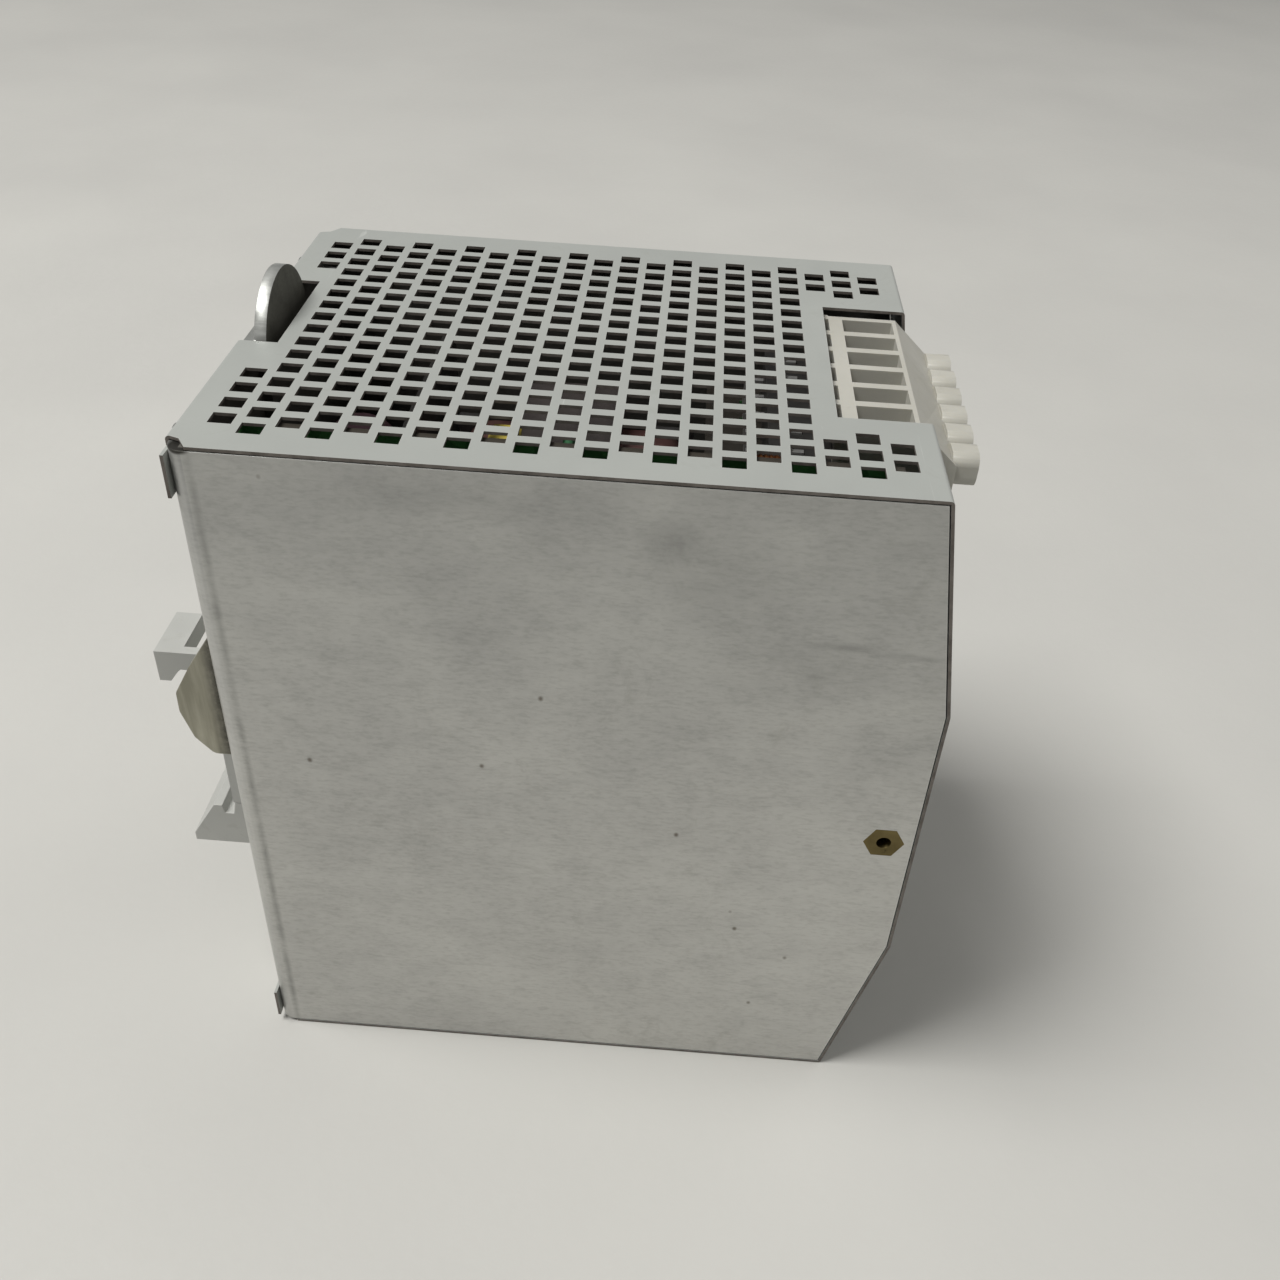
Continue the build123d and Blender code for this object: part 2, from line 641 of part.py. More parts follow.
def terminal_board(end, poles):
    """Small board that carries a header, square to the main board, with holes for its pins."""
    block(
        (COMPONENT_X, plug_half_width(OUTPUT_POLES) + TERMINAL_BOARD_MARGIN),
        (TERMINAL_BOARD_FRONT_Y, TERMINAL_BOARD_BACK_Y),
        (level(end, TERMINAL_BOARD_DEPTH), level(end, TERMINAL_BOARD_DEPTH + BOARD)),
    )
    for x in pole_positions(poles):
        block(
            (x - PIN, x + PIN),
            (PIN_BEND_Y - PIN, PIN_BEND_Y + PIN),
            (level(end, TERMINAL_BOARD_DEPTH), level(end, TERMINAL_BOARD_DEPTH + BOARD)),
            Mode.SUBTRACT,
        )


with BuildPart() as output_board:
    terminal_board(1, OUTPUT_POLES)
write(output_board, "output_board")

with BuildPart() as input_board:
    terminal_board(-1, INPUT_POLES)
write(input_board, "input_board")

# ---- terminals ----------------------------------------------------------------------------------

HEADER_BACK_Y = -93.8
HEADER_FRONT_Y = -103.8
HEADER_SIDE_WALL = 1.0
HEADER_PLAY = 0.25
CONTACT_THICKNESS = 0.8
CONTACT_HALF_WIDTH = 1.4
CONTACT_Y = -113.4
SOCKET_FRONT_Y = -101.0
SOCKET_BACK_Y = -96.8
SOCKET_HALF = 1.2
PIN_FRONT_Y = -100.5
PIN_PLAY = 0.05
PIN_TAIL = 1.5
PLUG_NOSE_Y = PLUG_SLOPE_FOOT_Y + 2.0
BARREL_ROOT_Y = PLUG_SLOPE_FOOT_Y + 0.5
BARREL_CORNER_RADIUS = 2.0
RIB_HALF_WIDTH = 0.8
RIB_DEPTH = 0.9
RIB_FOOT_DEPTH = 7.9
HEAD_PLAY = 0.1
SCREW_PLAY = 0.05
STRIP_PLAY = 0.1
STRIP_TOP_DEPTH = CHAMBER_TOP_DEPTH + 0.4
STRIP_BEND_DEPTH = (CHAMBER_FLOOR_DEPTH + 0.8, CHAMBER_FLOOR_DEPTH + 1.6)
SOCKET_OVERLAP = 0.5
SOCKET_STOP = 1.0
SCREW_SLOT_DEPTH = 0.9
SCREW_SLOT_HALF_WIDTH = 0.3


def header(end, poles):
    """Open shroud on a terminal board; the plug's tongue slides in from the front."""
    half = plug_half_width(poles)
    block(
        (-half - HEADER_SIDE_WALL, half + HEADER_SIDE_WALL),
        (HEADER_FRONT_Y, HEADER_BACK_Y),
        (level(end, HEADER_TOP_DEPTH), level(end, TERMINAL_BOARD_DEPTH)),
    )
    block(
        (-half + PLUG_TONGUE_INSET - HEADER_PLAY, half - PLUG_TONGUE_INSET + HEADER_PLAY),
        (HEADER_FRONT_Y, PLUG_TONGUE_BACK_Y + HEADER_PLAY),
        (
            level(end, PLUG_TONGUE_TOP_DEPTH - HEADER_PLAY),
            level(end, PLUG_TONGUE_FLOOR_DEPTH + HEADER_PLAY),
        ),
        Mode.SUBTRACT,
    )
    for x in pole_positions(poles):
        block(
            (x - PIN / 2, x + PIN / 2),
            (HEADER_FRONT_Y, HEADER_BACK_Y),
            (level(end, PIN_DEPTH - PIN / 2), level(end, PIN_DEPTH + PIN / 2)),
            Mode.SUBTRACT,
        )


with BuildPart() as output_header:
    header(1, OUTPUT_POLES)
write(output_header, "output_header")

with BuildPart() as input_header:
    header(-1, INPUT_POLES)
write(input_header, "input_header")

with BuildPart() as header_pins:
    for end, poles in ((1, OUTPUT_POLES), (-1, INPUT_POLES)):
        for x in pole_positions(poles):
            block(
                (x - PIN / 2, x + PIN / 2),
                (PIN_FRONT_Y, PIN_BEND_Y + PIN / 2),
                (level(end, PIN_DEPTH - PIN / 2), level(end, PIN_DEPTH + PIN / 2)),
            )
            block(
                (x - PIN / 2, x + PIN / 2),
                (PIN_BEND_Y - PIN / 2, PIN_BEND_Y + PIN / 2),
                (level(end, PIN_DEPTH), level(end, TERMINAL_BOARD_DEPTH + BOARD + PIN_TAIL)),
            )
write(header_pins, "header_pins")


def plug(end, poles):
    """Pull-off plug: wire windows in its outer face, and screw barrels in front."""
    half = plug_half_width(poles)
    with BuildSketch(Plane.YZ) as side_view:
        with BuildLine():
            Polyline(
                (PLUG_BACK_Y, level(end, PLUG_FACE_DEPTH)),
                (PLUG_SLOPE_TOP_Y, level(end, PLUG_FACE_DEPTH)),
                (PLUG_SLOPE_FOOT_Y, level(end, PLUG_SLOPE_FOOT_DEPTH)),
                (PLUG_SLOPE_FOOT_Y, level(end, SCREW_DEPTH + BARREL_HEIGHT / 2)),
                (PLUG_NOSE_Y, level(end, PLUG_FLOOR_DEPTH)),
                (PLUG_BACK_Y, level(end, PLUG_FLOOR_DEPTH)),
                close=True,
            )
        make_face()
    extrude(side_view.sketch, amount=half, both=True)
    # Tongue that slides into the header.
    block(
        (-half + PLUG_TONGUE_INSET, half - PLUG_TONGUE_INSET),
        (WINDOW_BACK_Y, PLUG_TONGUE_BACK_Y),
        (level(end, PLUG_TONGUE_TOP_DEPTH), level(end, PLUG_TONGUE_FLOOR_DEPTH)),
    )
    # Rounded barrels around the screws.
    with BuildSketch(Plane.XZ.offset(-BARREL_ROOT_Y)) as barrels:
        with Locations(*[(x, level(end, SCREW_DEPTH)) for x in pole_positions(poles)]):
            RectangleRounded(BARREL_WIDTH, BARREL_HEIGHT, BARREL_CORNER_RADIUS)
    extrude(barrels.sketch, amount=BARREL_ROOT_Y - BARREL_FRONT_Y)
    # Coding ribs behind the plug.
    for i in range(poles + 1):
        x = (i - poles / 2) * POLE_PITCH
        block(
            (x - RIB_HALF_WIDTH, x + RIB_HALF_WIDTH),
            (PLUG_BACK_Y, PLUG_BACK_Y + RIB_DEPTH),
            (level(end, PLUG_FACE_DEPTH), level(end, RIB_FOOT_DEPTH)),
        )
    for x in pole_positions(poles):
        # Wire window, and the chamber of the clamp below it.
        block(
            (x - WINDOW_WIDTH / 2, x + WINDOW_WIDTH / 2),
            (WINDOW_FRONT_Y, WINDOW_BACK_Y),
            (level(end, 0), level(end, CHAMBER_FLOOR_DEPTH)),
            Mode.SUBTRACT,
        )
        block(
            (x - WINDOW_WIDTH / 2, x + WINDOW_WIDTH / 2),
            (CHAMBER_FRONT_Y, WINDOW_BACK_Y),
            (level(end, CHAMBER_TOP_DEPTH), level(end, CHAMBER_FLOOR_DEPTH)),
            Mode.SUBTRACT,
        )
        # Bore for the screw's head, and its collar.
        rod(
            x,
            (BARREL_FRONT_Y, TERMINAL_HEAD_FRONT_Y + TERMINAL_HEAD_LENGTH + HEAD_PLAY),
            level(end, SCREW_DEPTH),
            TERMINAL_HEAD_RADIUS + HEAD_PLAY,
            Mode.SUBTRACT,
        )
        rod(
            x,
            (BARREL_FRONT_Y, CHAMBER_FRONT_Y),
            level(end, SCREW_DEPTH),
            TERMINAL_SCREW_RADIUS + SCREW_PLAY,
            Mode.SUBTRACT,
        )
        # Channel for the contact.
        block(
            (x - CONTACT_HALF_WIDTH - STRIP_PLAY, x + CONTACT_HALF_WIDTH + STRIP_PLAY),
            (CONTACT_Y - STRIP_PLAY, SOCKET_BACK_Y),
            (level(end, PIN_DEPTH - SOCKET_HALF), level(end, PIN_DEPTH + SOCKET_HALF)),
            Mode.SUBTRACT,
        )
        block(
            (x - PIN / 2 - PIN_PLAY, x + PIN / 2 + PIN_PLAY),
            (SOCKET_BACK_Y - SOCKET_STOP, PLUG_TONGUE_BACK_Y),
            (level(end, PIN_DEPTH - PIN / 2 - PIN_PLAY), level(end, PIN_DEPTH + PIN / 2 + PIN_PLAY)),
            Mode.SUBTRACT,
        )


def contacts(end, poles):
    """Bent contact strips of a plug, each with a socket for its pin."""
    for x in pole_positions(poles):
        block(
            (x - CONTACT_HALF_WIDTH, x + CONTACT_HALF_WIDTH),
            (CONTACT_Y, CONTACT_Y + CONTACT_THICKNESS),
            (level(end, STRIP_TOP_DEPTH), level(end, STRIP_BEND_DEPTH[1])),
        )
        block(
            (x - CONTACT_HALF_WIDTH, x + CONTACT_HALF_WIDTH),
            (CONTACT_Y, SOCKET_FRONT_Y),
            (level(end, STRIP_BEND_DEPTH[0]), level(end, STRIP_BEND_DEPTH[1])),
        )
        block(
            (x - SOCKET_HALF, x + SOCKET_HALF),
            (SOCKET_FRONT_Y - SOCKET_OVERLAP, SOCKET_BACK_Y),
            (level(end, PIN_DEPTH - SOCKET_HALF), level(end, PIN_DEPTH + SOCKET_HALF)),
        )
        block(
            (x - PIN / 2 - PIN_PLAY, x + PIN / 2 + PIN_PLAY),
            (SOCKET_FRONT_Y, SOCKET_BACK_Y),
            (level(end, PIN_DEPTH - PIN / 2 - PIN_PLAY), level(end, PIN_DEPTH + PIN / 2 + PIN_PLAY)),
            Mode.SUBTRACT,
        )


def terminal_screw(end, x):
    """Captive slotted screw of one terminal."""
    z = level(end, SCREW_DEPTH)
    head_back = TERMINAL_HEAD_FRONT_Y + TERMINAL_HEAD_LENGTH
    rod(x, (TERMINAL_HEAD_FRONT_Y, head_back), z, TERMINAL_HEAD_RADIUS)
    rod(x, (head_back, TERMINAL_SCREW_TIP_Y), z, TERMINAL_SCREW_RADIUS)
    block(
        (x - TERMINAL_HEAD_RADIUS, x + TERMINAL_HEAD_RADIUS),
        (TERMINAL_HEAD_FRONT_Y, TERMINAL_HEAD_FRONT_Y + SCREW_SLOT_DEPTH),
        (z - SCREW_SLOT_HALF_WIDTH, z + SCREW_SLOT_HALF_WIDTH),
        Mode.SUBTRACT,
    )


def clamp_cage(end, x):
    """Square cage that the screw draws forwards against the contact."""
    z = level(end, SCREW_DEPTH)
    half = WINDOW_WIDTH / 2 - CLAMP_PLAY
    block(
        (x - half, x + half),
        (CLAMP_FRONT_Y, CLAMP_BACK_Y),
        (z - CLAMP_HALF_HEIGHT, z + CLAMP_HALF_HEIGHT),
    )
    block(
        (x - half + CLAMP_WALL, x + half - CLAMP_WALL),
        (CLAMP_FRONT_Y + CLAMP_WALL, CLAMP_BACK_Y - CLAMP_WALL),
        (z - CLAMP_HALF_HEIGHT, z + CLAMP_HALF_HEIGHT),
        Mode.SUBTRACT,
    )
    rod(
        x,
        (CLAMP_FRONT_Y, CLAMP_FRONT_Y + CLAMP_WALL),
        z,
        TERMINAL_SCREW_RADIUS + SCREW_PLAY,
        Mode.SUBTRACT,
    )


def write_terminals(kind, end, poles):
    """Write one plug with its contacts, and each of its screws and cages."""
    with BuildPart() as plug_body:
        plug(end, poles)
    write(plug_body, f"{kind}_plug")
    with BuildPart() as strips:
        contacts(end, poles)
    write(strips, f"{kind}_contacts")
    for number, x in enumerate(pole_positions(poles), start=1):
        with BuildPart() as screw:
            terminal_screw(end, x)
        write(screw, f"{kind}_screw_{number}")
        with BuildPart() as cage:
            clamp_cage(end, x)
        write(cage, f"{kind}_clamp_{number}")


write_terminals("output", 1, OUTPUT_POLES)
write_terminals("input", -1, INPUT_POLES)

# ---- lamp and trimmer ---------------------------------------------------------------------------

INDICATOR_BACK_Y = -112.0
LAMP_FRONT_Y = -121.4
LAMP_RADIUS = 1.5
LAMP_DOME_RADIUS = 1.2
LAMP_HOLDER_HALF = 2.0
TRIMMER_SIZE = 6.6
TRIMMER_FRONT_Y = -117.4
ROTOR_FRONT_Y = -119.2
ROTOR_RADIUS = 1.6
ROTOR_PLAY = 0.05
ROTOR_BORE_DEPTH = 2.0
ROTOR_DEPTH = 1.9

board_face_z = level(1, TERMINAL_BOARD_DEPTH + BOARD)
indicator_z = level(1, INDICATOR_DEPTH)

with BuildPart() as status_lamp:
    block(
        (LAMP_X - LAMP_HOLDER_HALF, LAMP_X + LAMP_HOLDER_HALF),
        (INDICATOR_BACK_Y, TERMINAL_BOARD_FRONT_Y),
        (indicator_z - LAMP_HOLDER_HALF, board_face_z),
    )
    rod(LAMP_X, (LAMP_FRONT_Y, TERMINAL_BOARD_FRONT_Y), indicator_z, LAMP_RADIUS)
    fillet(faces().sort_by(Axis.Y)[0].edges(), LAMP_DOME_RADIUS)
write(status_lamp, "status_lamp")

with BuildPart() as trimmer_body:
    block(
        (TRIMMER_X - TRIMMER_SIZE / 2, TRIMMER_X + TRIMMER_SIZE / 2),
        (TRIMMER_FRONT_Y, INDICATOR_BACK_Y),
        (indicator_z - TRIMMER_SIZE / 2, board_face_z),
    )
    rod(
        TRIMMER_X,
        (TRIMMER_FRONT_Y, TRIMMER_FRONT_Y + ROTOR_BORE_DEPTH),
        indicator_z,
        ROTOR_RADIUS + ROTOR_PLAY,
        Mode.SUBTRACT,
    )
write(trimmer_body, "trimmer_body")

with BuildPart() as trimmer_rotor:
    rod(TRIMMER_X, (ROTOR_FRONT_Y, TRIMMER_FRONT_Y + ROTOR_DEPTH), indicator_z, ROTOR_RADIUS)
    block(
        (TRIMMER_X - ROTOR_RADIUS, TRIMMER_X + ROTOR_RADIUS),
        (ROTOR_FRONT_Y, ROTOR_FRONT_Y + SCREW_SLOT_DEPTH),
        (indicator_z - SCREW_SLOT_HALF_WIDTH, indicator_z + SCREW_SLOT_HALF_WIDTH),
        Mode.SUBTRACT,
    )
write(trimmer_rotor, "trimmer_rotor")

# ---- power stage --------------------------------------------------------------------------------

# Transformer: its centre (y, z), its size along Y and Z, and its stretch in x above the board.
TRANSFORMER_Y = -62.0
TRANSFORMER_Z = 41.0
TRANSFORMER_DEPTH = 40.0
TRANSFORMER_HEIGHT = 42.0
TRANSFORMER_TOP_X = 4.0
CORE_LIMB = 9.0
CORE_HALF_WIDTH = 8.0
BOBBIN_WALL = 1.2
BOBBIN_PLAY = 0.3
CORE_LIFT = 3.0
WINDING_INSET_Y = 1.5
WINDING_INSET_Z = 0.7
WINDING_CORNER_RADIUS = 5.0

core_z = (TRANSFORMER_Z - TRANSFORMER_HEIGHT / 2, TRANSFORMER_Z + TRANSFORMER_HEIGHT / 2)
core_y = (TRANSFORMER_Y - CORE_HALF_WIDTH, TRANSFORMER_Y + CORE_HALF_WIDTH)
core_x = (COMPONENT_X + CORE_LIFT, TRANSFORMER_TOP_X)
limb_z = (TRANSFORMER_Z - CORE_LIMB / 2, TRANSFORMER_Z + CORE_LIMB / 2)
window_x = (core_x[0] + CORE_LIMB / 2, core_x[1] - CORE_LIMB / 2)

with BuildPart() as transformer_core:
    block(core_x, core_y, core_z)
    block(window_x, core_y, (core_z[0] + CORE_LIMB / 2, limb_z[0]), Mode.SUBTRACT)
    block(window_x, core_y, (limb_z[1], core_z[1] - CORE_LIMB / 2), Mode.SUBTRACT)
write(transformer_core, "transformer_core")

with BuildPart() as transformer_bobbin:
    # Tube around the core's middle limb, with a flange at each end.
    tube_half_y = CORE_HALF_WIDTH + BOBBIN_WALL
    tube_half_z = CORE_LIMB / 2 + BOBBIN_WALL
    flange_half_y = TRANSFORMER_DEPTH / 2
    flange_half_z = TRANSFORMER_HEIGHT / 2 - CORE_LIMB / 2 - BOBBIN_PLAY
    tube_y = (TRANSFORMER_Y - tube_half_y, TRANSFORMER_Y + tube_half_y)
    tube_z = (TRANSFORMER_Z - tube_half_z, TRANSFORMER_Z + tube_half_z)
    block(window_x, tube_y, tube_z)
    for x in (window_x[0], window_x[1] - BOBBIN_WALL):
        block(
            (x, x + BOBBIN_WALL),
            (TRANSFORMER_Y - flange_half_y, TRANSFORMER_Y + flange_half_y),
            (TRANSFORMER_Z - flange_half_z, TRANSFORMER_Z + flange_half_z),
        )
    block(window_x, core_y, limb_z, Mode.SUBTRACT)
write(transformer_bobbin, "transformer_bobbin")

with BuildPart() as transformer_winding:
    winding_x = (window_x[0] + BOBBIN_WALL, window_x[1] - BOBBIN_WALL)
    winding_half_y = flange_half_y - WINDING_INSET_Y
    winding_half_z = flange_half_z - WINDING_INSET_Z
    block(
        winding_x,
        (TRANSFORMER_Y - winding_half_y, TRANSFORMER_Y + winding_half_y),
        (TRANSFORMER_Z - winding_half_z, TRANSFORMER_Z + winding_half_z),
    )
    fillet(transformer_winding.part.edges().filter_by(Axis.X), WINDING_CORNER_RADIUS)
    block(winding_x, tube_y, tube_z, Mode.SUBTRACT)
write(transformer_winding, "transformer_winding")


def ring(x, y, z, outer, inner):
    """Ring with its axis along X."""
    peg(x, y, z, outer)
    peg(x, y, z, inner, Mode.SUBTRACT)


# Chokes: centre (y, z), the core's stretch in x, its two radii, and the wire around it.
OUTPUT_CHOKE = {"y": -97.0, "z": 22.0, "x": (-29.0, -19.0), "outer": 11.0, "inner": 7.0}
LINE_CHOKE = {"y": -92.0, "z": -16.0, "x": (-28.0, -16.0), "outer": 12.0, "inner": 7.5}
CHOKE_WIRE = 2.0
CHOKE_PLAY = 0.05
OUTPUT_CHOKE_SECTOR = 320
LINE_CHOKE_SECTOR = 140


def choke_core(choke):
    """Ferrite ring of a choke."""
    ring(choke["x"], choke["y"], choke["z"], choke["outer"], choke["inner"])


def choke_winding(choke, sectors, sector_angle):
    """Wire around the ring, one solid for each wound sector."""
    low, high = choke["x"]
    ring(
        (low - CHOKE_WIRE, high + CHOKE_WIRE),
        choke["y"],
        choke["z"],
        choke["outer"] + CHOKE_WIRE,
        choke["inner"] - CHOKE_WIRE,
    )
    # Hollow for the core.
    length = high - low + 2 * CHOKE_PLAY
    with BuildSketch(Plane.YZ.offset(low - CHOKE_PLAY)) as hollow:
        with Locations((choke["y"], choke["z"])):
            Circle(choke["outer"] + CHOKE_PLAY)
            Circle(choke["inner"] - CHOKE_PLAY, mode=Mode.SUBTRACT)
    extrude(hollow.sketch, amount=length, mode=Mode.SUBTRACT)
    # Gaps between the sectors.
    half_gap = radians((360 / sectors - sector_angle) / 2)
    reach_y = 2 * choke["outer"] * cos(half_gap)
    reach_z = 2 * choke["outer"] * sin(half_gap)
    with BuildSketch(Plane.YZ.offset(low - 2 * CHOKE_WIRE)) as gaps:
        with Locations((choke["y"], choke["z"])):
            with PolarLocations(0, sectors):
                Polygon((0, 0), (reach_y, -reach_z), (reach_y, reach_z), align=None)
    extrude(gaps.sketch, amount=length + 4 * CHOKE_WIRE, mode=Mode.SUBTRACT)


with BuildPart() as output_choke_core:
    choke_core(OUTPUT_CHOKE)
write(output_choke_core, "output_choke_core")

with BuildPart() as output_choke_winding:
    choke_winding(OUTPUT_CHOKE, 1, OUTPUT_CHOKE_SECTOR)
write(output_choke_winding, "output_choke_winding")

with BuildPart() as line_choke_core:
    choke_core(LINE_CHOKE)
write(line_choke_core, "line_choke_core")

with BuildPart() as line_choke_windings:
    choke_winding(LINE_CHOKE, 2, LINE_CHOKE_SECTOR)
write(line_choke_windings, "line_choke_windings")


GROOVE_RADIUS_RATIO = 0.93


def can_capacitor(y, z, radius, length):
    """Round capacitor that lies along X, with a rolled groove near its foot."""
    peg((COMPONENT_X, COMPONENT_X + length), y, z, radius)
    groove_x = (COMPONENT_X + radius / 3, COMPONENT_X + radius / 2)
    with BuildSketch(Plane.YZ.offset(groove_x[0])) as groove:
        with Locations((y, z)):
            Circle(radius + 1)
            Circle(GROOVE_RADIUS_RATIO * radius, mode=Mode.SUBTRACT)
    extrude(groove.sketch, amount=groove_x[1] - groove_x[0], mode=Mode.SUBTRACT)


BULK_CAPACITORS = [(-34.0, -8.0), (-34.0, -38.0)]
BULK_RADIUS = 14.5
BULK_LENGTH = 48.0
OUTPUT_CAPACITORS = [(-26.0, 22.0), (-26.0, 36.5), (-26.0, 51.0)]
OUTPUT_CAPACITOR_RADIUS = 6.5
OUTPUT_CAPACITOR_LENGTH = 30.0
FILM_CAPACITORS = [(-62.0, -25.0), (-62.0, -38.0)]
FILM_HEIGHT = 16.0
FILM_HALF_LENGTH = 13.0
FILM_HALF_WIDTH = 4.5
FILM_CORNER_RADIUS = 1.0

with BuildPart() as bulk_capacitors:
    for y, z in BULK_CAPACITORS:
        can_capacitor(y, z, BULK_RADIUS, BULK_LENGTH)
write(bulk_capacitors, "bulk_capacitors")

with BuildPart() as output_capacitors:
    for y, z in OUTPUT_CAPACITORS:
        can_capacitor(y, z, OUTPUT_CAPACITOR_RADIUS, OUTPUT_CAPACITOR_LENGTH)
write(output_capacitors, "output_capacitors")

with BuildPart() as film_capacitors:
    for y, z in FILM_CAPACITORS:
        block(
            (COMPONENT_X, COMPONENT_X + FILM_HEIGHT),
            (y - FILM_HALF_LENGTH, y + FILM_HALF_LENGTH),
            (z - FILM_HALF_WIDTH, z + FILM_HALF_WIDTH),
        )
    fillet(film_capacitors.part.edges().filter_by(Axis.X), FILM_CORNER_RADIUS)
write(film_capacitors, "film_capacitors")

# Heat sinks: two plates that stand on the main board, square to it.
SINK_SHEET = 2.5
SINK_LENGTH_X = 52.0
PRIMARY_SINK_Z = 8.0
PRIMARY_SINK_Y = (-82.0, -50.0)
SECONDARY_SINK_Y = -38.0
SECONDARY_SINK_Z = (14.0, 62.0)
PACKAGE_WIDTH = 15.6
PACKAGE_LENGTH = 20.0
PACKAGE_THICKNESS = 4.8
PACKAGE_LIFT = 6.0
DIODE_THICKNESS = 3.0
TRANSISTOR_Y = (-74.0, -56.0)
DIODE_Z = (26.0, 46.0)
LEAD_OFFSETS = (-5.0, 0.0, 5.0)
LEAD_HALF_WIDTH = 0.6
LEAD_THICKNESS = 0.7
TRANSISTOR_LEAD_DEPTH = 3.0
DIODE_LEAD_DEPTH = 1.2
FIN_COUNT = 5
FIN_HEIGHT = 5.0
FIN_SHEET = 1.4

sink_x = (COMPONENT_X, COMPONENT_X + SINK_LENGTH_X)

with BuildPart() as heat_sinks:
    block(sink_x, PRIMARY_SINK_Y, (PRIMARY_SINK_Z, PRIMARY_SINK_Z + SINK_SHEET))
    fin_pitch = (PRIMARY_SINK_Y[1] - PRIMARY_SINK_Y[0] - FIN_SHEET) / (FIN_COUNT - 1)
    fin_foot_z = PRIMARY_SINK_Z + SINK_SHEET
    for i in range(FIN_COUNT):
        y = PRIMARY_SINK_Y[0] + i * fin_pitch
        block(sink_x, (y, y + FIN_SHEET), (fin_foot_z, fin_foot_z + FIN_HEIGHT))
    block(sink_x, (SECONDARY_SINK_Y, SECONDARY_SINK_Y + SINK_SHEET), SECONDARY_SINK_Z)
write(heat_sinks, "heat_sinks")

package_x = (COMPONENT_X + PACKAGE_LIFT, COMPONENT_X + PACKAGE_LIFT + PACKAGE_LENGTH)

with BuildPart() as power_transistors:
    lead_z = PRIMARY_SINK_Z - TRANSISTOR_LEAD_DEPTH
    for y in TRANSISTOR_Y:
        block(
            package_x,
            (y - PACKAGE_WIDTH / 2, y + PACKAGE_WIDTH / 2),
            (PRIMARY_SINK_Z - PACKAGE_THICKNESS, PRIMARY_SINK_Z),
        )
        for lead in LEAD_OFFSETS:
            block(
                (COMPONENT_X, package_x[0]),
                (y + lead - LEAD_HALF_WIDTH, y + lead + LEAD_HALF_WIDTH),
                (lead_z, lead_z + LEAD_THICKNESS),
            )
write(power_transistors, "power_transistors")

with BuildPart() as output_diodes:
    diode_y = SECONDARY_SINK_Y + SINK_SHEET
    lead_y = diode_y + DIODE_LEAD_DEPTH
    for z in DIODE_Z:
        block(
            package_x,
            (diode_y, diode_y + DIODE_THICKNESS),
            (z - PACKAGE_WIDTH / 2, z + PACKAGE_WIDTH / 2),
        )
        for lead in LEAD_OFFSETS:
            block(
                (COMPONENT_X, package_x[0]),
                (lead_y, lead_y + LEAD_THICKNESS),
                (z + lead - LEAD_HALF_WIDTH, z + lead + LEAD_HALF_WIDTH),
            )
write(output_diodes, "output_diodes")

RECTIFIER_LIFT = 3.0
RECTIFIER_HEIGHT = 20.0
RECTIFIER_Y = (-76.0, -50.0)
RECTIFIER_Z = (-12.0, -8.2)
RECTIFIER_LEADS_Y = (-72.0, -66.0, -60.0, -54.0)
RECTIFIER_LEADS_Z = (-10.4, -9.8)

with BuildPart() as bridge_rectifier:
    rectifier_foot_x = COMPONENT_X + RECTIFIER_LIFT
    block((rectifier_foot_x, rectifier_foot_x + RECTIFIER_HEIGHT), RECTIFIER_Y, RECTIFIER_Z)
    for lead in RECTIFIER_LEADS_Y:
        lead_stretch = (lead - LEAD_HALF_WIDTH, lead + LEAD_HALF_WIDTH)
        block((COMPONENT_X, rectifier_foot_x), lead_stretch, RECTIFIER_LEADS_Z)
write(bridge_rectifier, "bridge_rectifier")

FUSE_LIFT = 4.0
FUSE_Z = -50.0
FUSE_Y = (-84.0, -64.0)
FUSE_RADIUS = 2.6
FUSE_CAP_RADIUS = 3.0
FUSE_CAP_LENGTH = 5.0

with BuildPart() as line_fuse:
    fuse_x = COMPONENT_X + FUSE_LIFT
    rod(fuse_x, FUSE_Y, FUSE_Z, FUSE_RADIUS)
    rod(fuse_x, (FUSE_Y[0], FUSE_Y[0] + FUSE_CAP_LENGTH), FUSE_Z, FUSE_CAP_RADIUS)
    rod(fuse_x, (FUSE_Y[1] - FUSE_CAP_LENGTH, FUSE_Y[1]), FUSE_Z, FUSE_CAP_RADIUS)
write(line_fuse, "line_fuse")

# Discs: front y, centre z, radius and thickness.
VARISTOR = (-81.0, -36.0, 6.5, 4.0)
INRUSH_LIMITER = (-111.5, -20.0, 6.0, 4.0)
DISC_LIFT = 2.0
DISC_WIRE_RADIUS = 0.4
DISC_WIRE_LENGTH = 4.0


def disc(y, z, radius, thickness):
    """Round disc component that stands on the board on two wires."""
    rod(COMPONENT_X + radius + DISC_LIFT, (y, y + thickness), z, radius)
    fillet(edges(Select.LAST).filter_by(GeomType.CIRCLE), thickness / 3)
    for side in (-1, 1):
        wire_z = z + side * radius / 2
        middle_y = y + thickness / 2
        peg((COMPONENT_X, COMPONENT_X + DISC_WIRE_LENGTH), middle_y, wire_z, DISC_WIRE_RADIUS)


with BuildPart() as varistor:
    disc(*VARISTOR)
write(varistor, "varistor")

with BuildPart() as inrush_limiter:
    disc(*INRUSH_LIMITER)
write(inrush_limiter, "inrush_limiter")

RELAY_HEIGHT = 12.0
RELAY_Y = (-111.0, -96.0)
RELAY_Z = (1.0, 8.5)
RELAY_CORNER_RADIUS = 0.8

with BuildPart() as signal_relay:
    block((COMPONENT_X, COMPONENT_X + RELAY_HEIGHT), RELAY_Y, RELAY_Z)
    fillet(signal_relay.part.edges().filter_by(Axis.X), RELAY_CORNER_RADIUS)
write(signal_relay, "signal_relay")
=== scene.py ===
import json
import math
import random

import bmesh
import bpy
from mathutils import Matrix, Vector


